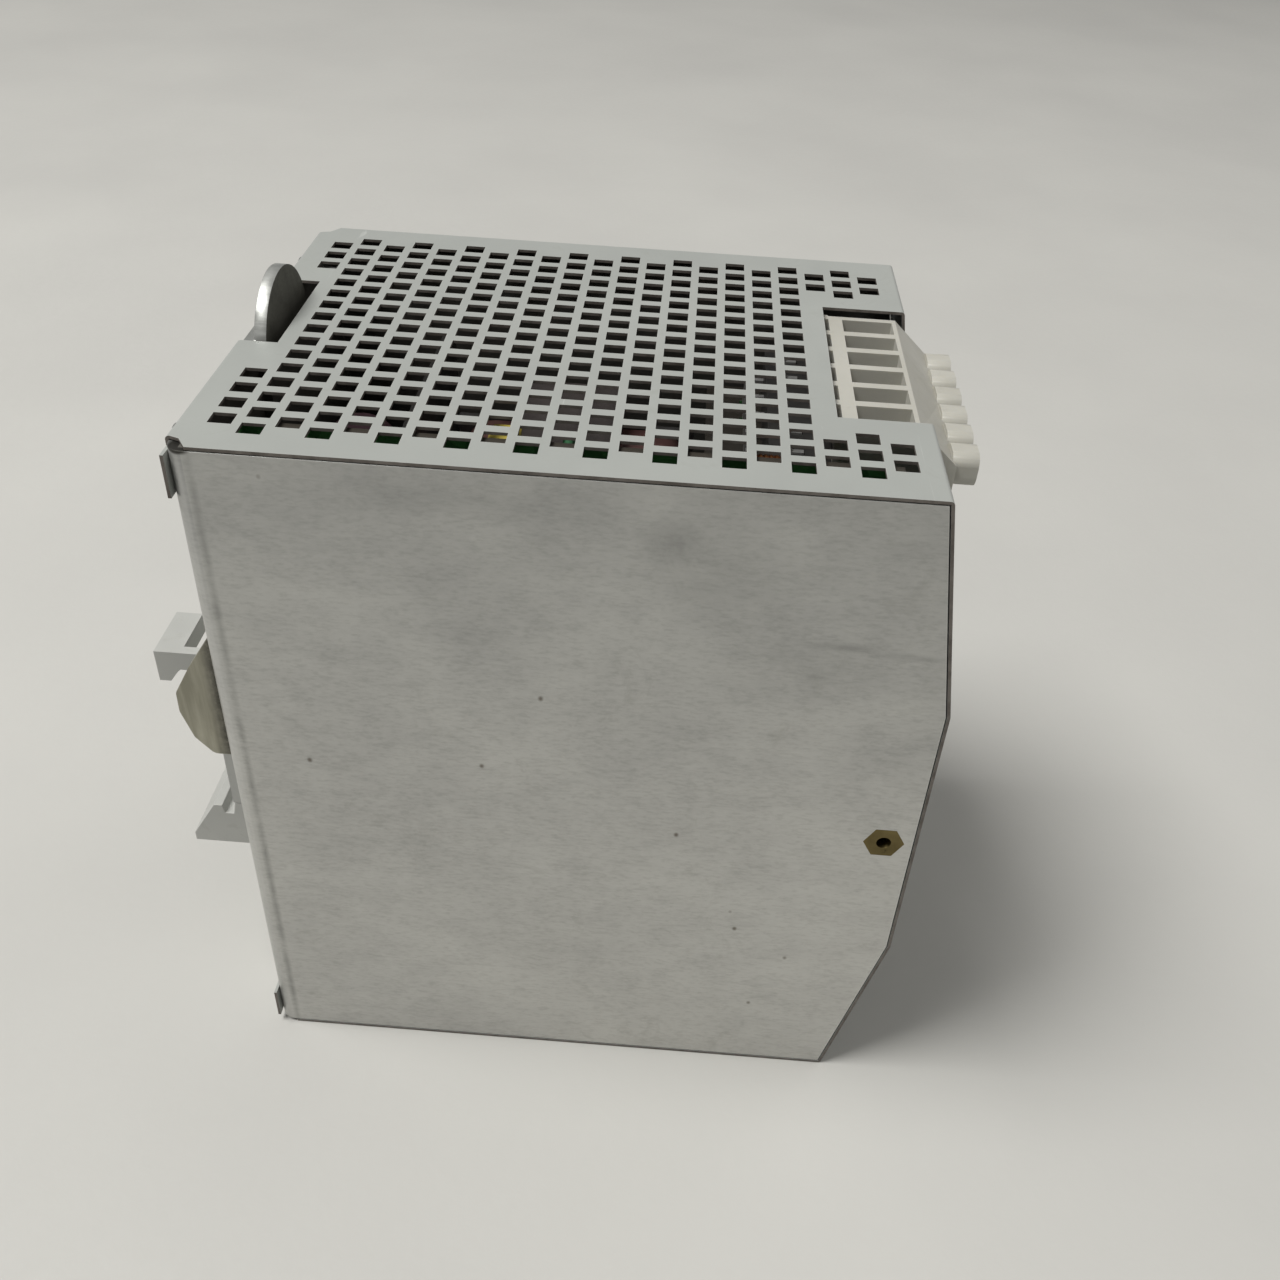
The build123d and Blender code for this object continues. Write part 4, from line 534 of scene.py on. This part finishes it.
class Shape:
    """Points (in mm) and faces of one new piece."""

    def __init__(self):
        self.points = []
        self.faces = []

    def skin(self, rings, closed=False):
        """Cover a row of rings with faces. A closed row meets itself, an open one gets an end face each."""
        start = len(self.points)
        count = len(rings[0])
        for ring in rings:
            self.points += ring
        for i in range(len(rings) if closed else len(rings) - 1):
            here = start + i * count
            there = start + (i + 1) % len(rings) * count
            for j in range(count):
                k = (j + 1) % count
                self.faces.append((here + j, here + k, there + k, there + j))
        if not closed:
            last = start + (len(rings) - 1) * count
            self.faces.append(tuple(start + j for j in reversed(range(count))))
            self.faces.append(tuple(last + j for j in range(count)))

    def wire(self, path, radius, sides=8):
        """Round wire along a path of points."""
        rings = []
        normal = (path[1] - path[0]).orthogonal().normalized()
        for i, point in enumerate(path):
            along = (path[min(i + 1, len(path) - 1)] - path[max(i - 1, 0)]).normalized()
            normal = (normal - along * normal.dot(along)).normalized()
            side = along.cross(normal)
            angles = [2 * math.pi * j / sides for j in range(sides)]
            rings.append([point + radius * (math.cos(a) * normal + math.sin(a) * side) for a in angles])
        self.skin(rings)

    def lead(self, x, y, z, radius):
        """Straight wire from a point through the main board into its solder joint."""
        self.wire([Vector((x, y, z)), Vector((LEAD_END_X, y, z))], radius)
        solder_places.append((y, z))

    def turned(self, profile, place, sides=24):
        """Round body along its own Z: profile holds (z, radius) pairs, and place is where it stands."""
        angles = [2 * math.pi * j / sides for j in range(sides)]
        rings = []
        for z, r in profile:
            rings.append([place @ Vector((r * math.cos(a), r * math.sin(a), z)) for a in angles])
        self.skin(rings)

    def piece(self, name, slot, replaces=(), smooth=35):
        """Make the mesh, which rides the case."""
        mesh = bpy.data.meshes.new(name)
        mesh.from_pydata([point * MM for point in self.points], [], self.faces)
        surface = bmesh.new()
        surface.from_mesh(mesh)
        bmesh.ops.recalc_face_normals(surface, faces=surface.faces)
        for face in surface.faces:
            face.smooth = True
        for edge in surface.edges:
            edge.smooth = len(edge.link_faces) == 2 and edge.calc_face_angle() < math.radians(smooth)
        surface.to_mesh(mesh)
        surface.free()
        mesh.materials.append(FINISHES[slot])
        made = bpy.data.objects.new(name, mesh)
        bpy.context.scene.collection.objects.link(made)
        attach(made, "case")
        if replaces:
            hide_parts(*replaces)
        return made


def facing_x(x, y, z):
    """Place of a turned body whose axis runs along +X from this point, in mm."""
    return Matrix.Translation((x, y, z)) @ Matrix.Rotation(math.pi / 2, 4, "Y")


def facing_y(x, y, z):
    """Place of a turned body whose axis runs along +Y from this point, in mm."""
    return Matrix.Translation((x, y, z)) @ Matrix.Rotation(-math.pi / 2, 4, "X")


def box_mm(node):
    """Low and high corner of a CAD node's box in mm."""
    return [Vector(corner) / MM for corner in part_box(node)]


def centre(node):
    """Middle of a CAD node's box in mm."""
    low, high = box_mm(node)
    return (low + high) / 2


def helix(start, travel, turns, steps, first, second):
    """Coil path with steps points a turn: it winds from first to second while its middle moves by travel."""
    path = []
    for i in range(turns * steps + 1):
        angle = 2 * math.pi * i / steps
        middle = start + travel * (i / (turns * steps))
        path.append(middle + first * math.cos(angle) + second * math.sin(angle))
    return path


# The main board stands upright: parts stand on its +X face, and their leads are soldered on its -X face.
board_low, board_high = box_mm("main_board")
FOOT_X = board_high.x
SOLDER_X = board_low.x
LEAD_END_X = SOLDER_X - 1.0
solder_places = []  # (y, z) of each lead in the main board


# Ring cores: how thick each one is between its bore and its rim, in mm.
CORE_WALL = {"output_choke_core": 4.0, "line_choke_core": 4.5}
STEPS_PER_TURN = 18
WIRE_WOBBLE = 0.04


def squared(value):
    """Push a sine or cosine outwards, so that a circle becomes a rounded square."""
    return math.copysign(abs(value) ** 0.45, value)


def choke_turns(core, node, name, sectors, sector_angle, turns, wire_radius):
    """Enamelled wire wound around a ring core, with straight leads into the board."""
    low, high = box_mm(core)
    middle = (low + high) / 2
    outer = (high.y - low.y) / 2
    inner = outer - CORE_WALL[core]
    half_x = (high.x - low.x) / 2 + wire_radius
    half_r = (outer - inner) / 2 + wire_radius
    coil = Shape()
    count = turns * STEPS_PER_TURN
    for sector in range(sectors):
        start = 2 * math.pi * sector / sectors - math.radians(sector_angle) / 2
        path = []
        for i in range(count + 1):
            angle = start + math.radians(sector_angle) * i / count
            spin = 2 * math.pi * i / STEPS_PER_TURN - math.pi / 2
            wobble = rng.uniform(-WIRE_WOBBLE, WIRE_WOBBLE)
            x = middle.x + half_x * squared(math.sin(spin))
            r = (outer + inner) / 2 + half_r * squared(math.cos(spin)) + wobble
            path.append(Vector((x, middle.y + r * math.cos(angle), middle.z + r * math.sin(angle))))
        for end in (path[0], path[-1]):
            solder_places.append((end.y, end.z))
        path.insert(0, Vector((LEAD_END_X, path[0].y, path[0].z)))
        path.append(Vector((LEAD_END_X, path[-1].y, path[-1].z)))
        coil.wire(path, wire_radius)
    coil.piece(name, "copper_wire", replaces=(node,), smooth=80)


choke_turns("output_choke_core", "output_choke_winding", "output_choke_turns", 1, 318, 27, 0.62)
choke_turns("line_choke_core", "line_choke_windings", "line_choke_turns", 2, 138, 15, 0.5)


# Can capacitors. Each lead's distance from the axis is this share of the can's radius.
CAN_LEAD_SHARE = 0.38


def cans(node, places, radius, name):
    """Sleeved capacitors with a rolled groove, a shrunk rim and a scored vent in the metal end."""
    low, high = box_mm(node)
    length = high.x - low.x
    groove = radius / 3
    profile = [
        (0.0, radius - 1.0),
        (0.3, radius - 0.3),
        (1.0, radius),
        (groove - 0.4, radius),
        (groove + 0.2, 0.965 * radius),
        (groove + 0.9, 0.94 * radius),
        (groove + 1.6, 0.965 * radius),
        (groove + 2.2, radius),
        (length - 1.1, radius),
        (length - 0.45, radius - 0.25),
        (length - 0.1, radius - 0.8),
        (length, radius - 1.4),
        (length - 0.1, radius - 2.0),
        (length - 0.55, radius - 2.25),
    ]
    rim = radius - 2.35
    plate = [(length - 0.62, rim), (length - 0.5, rim), (length - 0.45, rim - 0.25)]
    sleeves = Shape()
    ends = Shape()
    for y, z in places:
        place = facing_x(FOOT_X, y, z)
        sleeves.turned(profile, place, sides=48)
        ends.turned(plate, place, sides=48)
        for quarter in range(4):
            ends.skin(vent_sector(place, length - 0.46, rim - 0.3, quarter * math.pi / 2))
        for side in (-1, 1):
            solder_places.append((y, z + side * radius * CAN_LEAD_SHARE))
    sleeves.piece(name + "_sleeves", "can_sleeve", replaces=(node,))
    ends.piece(name + "_ends", "tinned_metal")


def vent_sector(place, z, radius, turn):
    """Two rings of one raised quarter between the scores of a vent."""
    gap = 0.045 * radius
    corners = [(gap, gap)]
    for i in range(9):
        angle = math.radians(5 + 10 * i)
        corners.append((max(gap, radius * math.cos(angle)), max(gap, radius * math.sin(angle))))
    cosine, sine = math.cos(turn), math.sin(turn)
    rings = []
    for lift, shrink in ((0.0, 1.0), (0.16, 0.97)):
        ring = []
        for a, b in corners:
            a, b = gap + (a - gap) * shrink, gap + (b - gap) * shrink
            ring.append(place @ Vector((a * cosine - b * sine, a * sine + b * cosine, z + lift)))
        rings.append(ring)
    return rings


cans("bulk_capacitors", [(-34.0, -8.0), (-34.0, -38.0)], 14.5, "bulk_capacitor")
cans("output_capacitors", [(-26.0, 22.0), (-26.0, 36.5), (-26.0, 51.0)], 6.5, "output_capacitor")


# Transformer: tape layers, copper leads and pins.
TAPE_CORNER = 5.0
PINS_PER_SIDE = 5
PIN_PITCH = 5.0
PIN_RADIUS = 0.45
winding_low, winding_high = box_mm("transformer_winding")
bobbin_low, bobbin_high = box_mm("transformer_bobbin")


def tape_outline(x, rise):
    """Rounded outline of the transformer's winding, made larger by rise."""
    middle = (winding_low + winding_high) / 2
    flat_y = (winding_high.y - winding_low.y) / 2 - TAPE_CORNER
    flat_z = (winding_high.z - winding_low.z) / 2 - TAPE_CORNER
    corner = TAPE_CORNER + rise
    ring = []
    for sy, sz, first in ((1, 1, 0), (-1, 1, 90), (-1, -1, 180), (1, -1, 270)):
        for i in range(7):
            angle = math.radians(first + 15 * i)
            y = middle.y + sy * flat_y + corner * math.cos(angle)
            z = middle.z + sz * flat_z + corner * math.sin(angle)
            ring.append(Vector((x, y, z)))
    return ring


def tape_layer(shape, x0, x1, lift):
    """One band of tape that stands lift above the winding."""
    outline = ((x0, -0.1), (x0, lift - 0.06), (x0 + 0.1, lift), (x1 - 0.1, lift), (x1, lift - 0.06), (x1, -0.1))
    shape.skin([tape_outline(x, rise) for x, rise in outline], closed=True)


tape = Shape()
tape_layer(tape, winding_low.x + 0.2, winding_low.x + 9.0, 0.22)
tape_layer(tape, winding_low.x + 7.5, winding_high.x - 0.2, 0.42)
tape_layer(tape, winding_low.x + 3.0, winding_low.x + 5.2, 0.34)
tape.piece("transformer_tape", "winding_tape")


def wrapped_end(side, pin_y, pin_z):
    """The winding's end comes out below the tape, runs down to its pin and is wrapped around it."""
    path = [
        Vector((winding_low.x + 1.5, pin_y + side * 1.2, pin_z + 1.6)),
        Vector((winding_low.x - 0.4, pin_y - side * 1.6, pin_z + 1.2)),
        Vector((winding_low.x - 2.2, pin_y - side * 1.5, pin_z + 0.6)),
    ]
    for i in range(30):
        angle = 2 * math.pi * i / 8
        around_y, around_z = 0.72 * math.cos(angle), 0.72 * math.sin(angle)
        path.append(Vector((bobbin_low.x - 0.8 - 0.09 * i, pin_y + around_y, pin_z + around_z)))
    return path


pins = Shape()
leads = Shape()
for side, pin_y in ((1, bobbin_low.y + 1.2), (-1, bobbin_high.y - 1.2)):
    for i in range(PINS_PER_SIDE):
        pin_z = centre("transformer_bobbin").z + (i - (PINS_PER_SIDE - 1) / 2) * PIN_PITCH
        pins.lead(bobbin_low.x + 0.6, pin_y, pin_z, PIN_RADIUS)
        if i % 2 == 0:
            leads.wire(wrapped_end(side, pin_y, pin_z), 0.24, sides=6)
pins.piece("transformer_pins", "tinned_metal")
leads.piece("transformer_leads", "copper_wire", smooth=80)


# Small parts on the main board, above and beside the transformer.
RESISTOR_PLACES = [
    (-100.0, 66.0),
    (-86.0, 66.2),
    (-72.0, 66.0),
    (-34.0, 65.5),
    (-96.0, 44.0),
    (-104.0, -34.0),
    (-96.0, -42.0),
]
# Middle in y and z, radius, thickness.
DISCS = [
    (-63.5, 66.0, 3.0, 2.2),
    (-88.0, 44.0, 4.0, 2.6),
    (-108.0, 38.0, 3.6, 2.4),
    (-46.0, -50.0, 4.0, 2.6),
]
# Middle in y and z, and the size along X, Y and Z.
BOXES = [(-53.6, 66.4, (9.0, 4.6, 3.6)), (-93.0, 50.0, (9.0, 10.0, 4.0))]
RESISTOR_LENGTH = 9.0
RESISTOR_RADIUS = 1.9
DISC_LEAD_OFFSET = 2.5
SMALL_WIRE_RADIUS = 0.3


def resistor(shape, wires, y, z):
    """Dog-bone body that lies along Y over the board, with its two wires."""
    length, radius = RESISTOR_LENGTH, RESISTOR_RADIUS
    x = FOOT_X + radius + 0.5
    profile = [
        (0.0, 0.5 * radius),
        (0.25, 0.85 * radius),
        (0.9, radius),
        (0.22 * length, radius),
        (0.3 * length, 0.84 * radius),
        (0.7 * length, 0.84 * radius),
        (0.78 * length, radius),
        (length - 0.9, radius),
        (length - 0.25, 0.85 * radius),
        (length, 0.5 * radius),
    ]
    shape.turned(profile, facing_y(x, y - length / 2, z), sides=20)
    for side in (-1, 1):
        end = y + side * length / 2
        hole_y = end + side * 1.6
        bend = ((x, end), (x, end + side * 0.9), (x - 0.3, end + side * 1.4), (x - 1.0, hole_y), (LEAD_END_X, hole_y))
        wires.wire([Vector((wire_x, wire_y, z)) for wire_x, wire_y in bend], 0.32)
        solder_places.append((hole_y, z))


def dipped_disc(shape, wires, y, z, radius, thickness):
    """Small dipped disc that stands on two wires, flat across Y, with drips down its wires."""
    profile = [
        (0.0, 0.35 * radius),
        (0.03 * thickness, 0.72 * radius),
        (0.22 * thickness, 0.93 * radius),
        (0.5 * thickness, radius),
        (0.78 * thickness, 0.93 * radius),
        (0.97 * thickness, 0.72 * radius),
        (thickness, 0.35 * radius),
    ]
    drip = [(0.0, 0.34), (0.8, 0.5), (2.0, 0.75), (2.6 + 0.3 * radius, 0.6)]
    shape.turned(profile, facing_y(FOOT_X + radius + 2.4, y - thickness / 2, z), sides=28)
    for side in (-1, 1):
        wire_z = z + side * DISC_LEAD_OFFSET
        shape.turned(drip, facing_x(FOOT_X + 1.2, y, wire_z), sides=12)
        wires.lead(FOOT_X + 3.0, y, wire_z, SMALL_WIRE_RADIUS)


def box_capacitor(shape, wires, y, z, size):
    """Potted box on the board with a chamfered rim and small feet; size is along X, Y and Z."""
    height, length, width = size
    rings = []
    for lift, inset in ((0.5, 0.5), (0.5, 0.0), (height - 0.5, 0.0), (height - 0.15, 0.15), (height, 0.5)):
        a, b, cut = length / 2 - inset, width / 2 - inset, 0.5
        corners = [(a, b - cut), (a - cut, b), (cut - a, b), (-a, b - cut)]
        corners += [(-p, -q) for p, q in corners]
        rings.append([Vector((FOOT_X + lift, y + p, z + q)) for p, q in corners])
    shape.skin(rings)
    for side in (-1, 1):
        wire_y = y + side * (length / 2 - 1.5)
        shape.turned([(0.0, 0.5), (0.6, 0.6)], facing_x(FOOT_X, wire_y, z + width / 2 - 1.0), sides=12)
        wires.lead(FOOT_X + 1.0, wire_y, z, SMALL_WIRE_RADIUS)


small_wires = Shape()
resistors = Shape()
for place in RESISTOR_PLACES:
    resistor(resistors, small_wires, *place)
resistors.piece("board_resistors", "can_sleeve")

discs = Shape()
for disc in DISCS:
    dipped_disc(discs, small_wires, *disc)
discs.piece("board_disc_capacitors", "disc_green")

boxes = Shape()
for box in BOXES:
    box_capacitor(boxes, small_wires, *box)
boxes.piece("board_box_capacitors", "film_case")
small_wires.piece("board_part_wires", "tinned_metal")


# Bent tails of the header's pins, on top of the header.
PLUG_PITCH = 6.55
TAIL_OUTLINE = [(-1.3, 0.0), (-1.3, 0.35), (0.4, 0.35), (0.75, 0.6)]
TAIL_OUTLINE += [(0.95, 1.5), (1.3, 1.5), (1.1, 0.45), (0.55, 0.0)]
header_low, header_high = box_mm("output_header")
tail_y = (header_low.y + header_high.y) / 2 + 0.9
tails = Shape()
for i in range(6):
    x = (i - 2.5) * PLUG_PITCH
    rings = []
    for side, inset in ((-0.5, 0.06), (-0.42, 0.0), (0.42, 0.0), (0.5, 0.06)):
        share = 1 - inset
        rings.append([Vector((x + side, tail_y + a * share, header_high.z + b * share)) for a, b in TAIL_OUTLINE])
    tails.skin(rings)
tails.piece("header_pin_tails", "tinned_metal")


# Coil on a ferrite rod, on the terminal board behind the header's pins.
COIL_WIRE = 0.42
terminal_top = box_mm("output_board")[1].z
lead_bottom = terminal_top - 2.6
rod_y, rod_z = -87.3, terminal_top + 3.0
rod = Shape()
rod.turned([(0.0, 1.2), (0.25, 1.6), (17.75, 1.6), (18.0, 1.2)], facing_x(-29.0, rod_y, rod_z), sides=20)
rod.piece("filter_rod", "ferrite")
filter_coil = Shape()
coil_start = Vector((-27.5, rod_y, rod_z))
path = helix(coil_start, Vector((15.0, 0, 0)), 16, 12, Vector((0, 2.1, 0)), Vector((0, 0, 2.1)))
path.insert(0, Vector((path[0].x, path[0].y, lead_bottom)))
path.append(Vector((path[-1].x, path[-1].y, lead_bottom)))
filter_coil.wire(path, COIL_WIRE)
filter_coil.piece("filter_coil", "copper_wire", smooth=80)

# Open coil beside the main board's upper edge.
coil_y, coil_z, coil_length, coil_radius = -95.0, 67.0, 4.8, 2.0
coil_start = Vector((FOOT_X + 2.5, coil_y, coil_z))
open_coil = Shape()
coil_out, coil_up = Vector((-coil_radius, 0, 0)), Vector((0, 0, coil_radius))
path = helix(coil_start, Vector((0, coil_length, 0)), 6, 16, coil_out, coil_up)
path.insert(0, Vector((LEAD_END_X, coil_y, coil_z - 1.4)))
path.append(Vector((LEAD_END_X, coil_y + coil_length, coil_z - 1.4)))
open_coil.wire(path, COIL_WIRE)
open_coil.piece("board_coil", "copper_wire", smooth=80)


# The latch's spring, with closed ends.
SPRING_WIRE = 0.3
SPRING_TURNS = 8
SPRING_STEPS = 16
CLOSED_PITCH = 0.65
spring_low, spring_high = box_mm("latch_spring")
spring_middle = centre("latch_spring")
spring_radius = (spring_high.x - spring_low.x) / 2 - SPRING_WIRE
open_height = spring_high.z - spring_low.z - 2 * SPRING_WIRE - 2 * CLOSED_PITCH
path = []
for i in range(SPRING_TURNS * SPRING_STEPS + 1):
    turn = i / SPRING_STEPS
    opened = min(max(turn - 1.0, 0.0) / (SPRING_TURNS - 2), 1.0)
    closed = min(turn, 1.0) + max(turn - (SPRING_TURNS - 1), 0.0)
    angle = 2 * math.pi * turn
    x = spring_middle.x + spring_radius * math.cos(angle)
    y = spring_middle.y + spring_radius * math.sin(angle)
    path.append(Vector((x, y, spring_low.z + SPRING_WIRE + closed * CLOSED_PITCH + opened * open_height)))
spring = Shape()
spring.wire(path, SPRING_WIRE)
coiled = spring.piece("latch_spring_coil", "spring_steel", replaces=("latch_spring",), smooth=80)
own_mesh(coiled)


# Leads of the packages that stand on the heat sinks, and of the other parts, end in solder.
PACKAGE_LEADS = (-5.0, 0.0, 5.0)
for y in (-74.0, -56.0):
    solder_places += [(y + lead, 5.35) for lead in PACKAGE_LEADS]
for z in (26.0, 46.0):
    solder_places += [(-33.95, z + lead) for lead in PACKAGE_LEADS]
solder_places += [(y, -10.1) for y in (-72.0, -66.0, -60.0, -54.0)]
solder_places += [(-79.0, -39.25), (-79.0, -32.75), (-109.5, -23.0), (-109.5, -17.0)]
solder_places += [(-81.5, -50.0), (-66.5, -50.0), (-109.0, 3.0), (-109.0, 6.5), (-98.0, 3.0), (-98.0, 6.5)]
solder_places += [(y, z) for y in (-73.0, -51.0) for z in (-25.0, -38.0)]

solder = Shape()
for y, z in solder_places:
    size = rng.uniform(0.92, 1.12)
    profile = [(-0.02, 1.25 * size), (0.22, 1.05 * size), (0.6, 0.66 * size), (1.0, 0.45), (1.35, 0.36), (1.5, 0.2)]
    away = Matrix.Translation((SOLDER_X, y, z)) @ Matrix.Rotation(-math.pi / 2, 4, "Y")
    solder.turned(profile, away, sides=14)
solder.piece("solder_joints", "tinned_metal")


# ---- camera, floor and light --------------------------------------------------------------------

# In mm and degrees.
CAMERA_PLACE = (-191.14, -79.68, 158.11)
CAMERA_TURN = (52.309, -2.658, -86.505)
CAMERA_LENS = 35.15
SENSOR_WIDTH = 36.0
# In metres.
FLOOR_SIZE = 4.0
FLOOR_GAP = 0.0001
CASE_MIDDLE = (0, -0.06, 0)
STUDIO_WHITE = (1.0, 0.99, 0.965)


def stage(name, data):
    """Put a camera, lamp or floor into the scene beside the part."""
    holder = bpy.data.objects.new(name, data)
    bpy.context.scene.collection.objects.link(holder)
    return holder


camera = stage("camera", bpy.data.cameras.new("camera"))
camera.location = [c * MM for c in CAMERA_PLACE]
camera.rotation_euler = [math.radians(a) for a in CAMERA_TURN]
camera.data.lens = CAMERA_LENS
camera.data.sensor_width = SENSOR_WIDTH
camera.data.clip_start = 0.005
bpy.context.scene.camera = camera


def floor_finish():
    f = Finish("floor")
    tone = f.noise(160, detail=5)
    grain = f.noise(3, detail=4)
    colour = f.mix(f.ramp(tone, 0.3, 0.7), (0.555, 0.55, 0.525), (0.605, 0.60, 0.57))
    return f.done(colour, f.ramp(grain, 0.3, 0.7, 0.55, 0.7), f.bump(grain, 0.05))


mesh = bpy.data.meshes.new("floor")
half = FLOOR_SIZE / 2
mesh.from_pydata([(-half, -half, 0), (half, -half, 0), (half, half, 0), (-half, half, 0)], [], [(0, 1, 2, 3)])
mesh.materials.append(floor_finish())
stage("floor", mesh).location.z = cad_low.z - FLOOR_GAP


def softbox(name, place, size, power, colour):
    """Square area lamp that shines from place towards the case."""
    lamp = bpy.data.lights.new(name, "AREA")
    lamp.size = size
    lamp.energy = power
    lamp.color = colour
    holder = stage(name, lamp)
    holder.location = place
    direction = Vector(CASE_MIDDLE) - Vector(place)
    holder.rotation_euler = direction.to_track_quat("-Z", "Y").to_euler()


softbox("key", (-0.3, 0.85, 2.0), 0.95, 46.0, STUDIO_WHITE)
softbox("fill", (0.5, -0.9, 0.8), 0.8, 1.6, (1.0, 0.99, 0.97))

world = bpy.data.worlds.new("studio")
world.use_nodes = True
world.node_tree.nodes["Background"].inputs["Color"].default_value = (*STUDIO_WHITE, 1.0)
world.node_tree.nodes["Background"].inputs["Strength"].default_value = 0.23
bpy.context.scene.world = world
bpy.context.scene.view_settings.view_transform = "Standard"
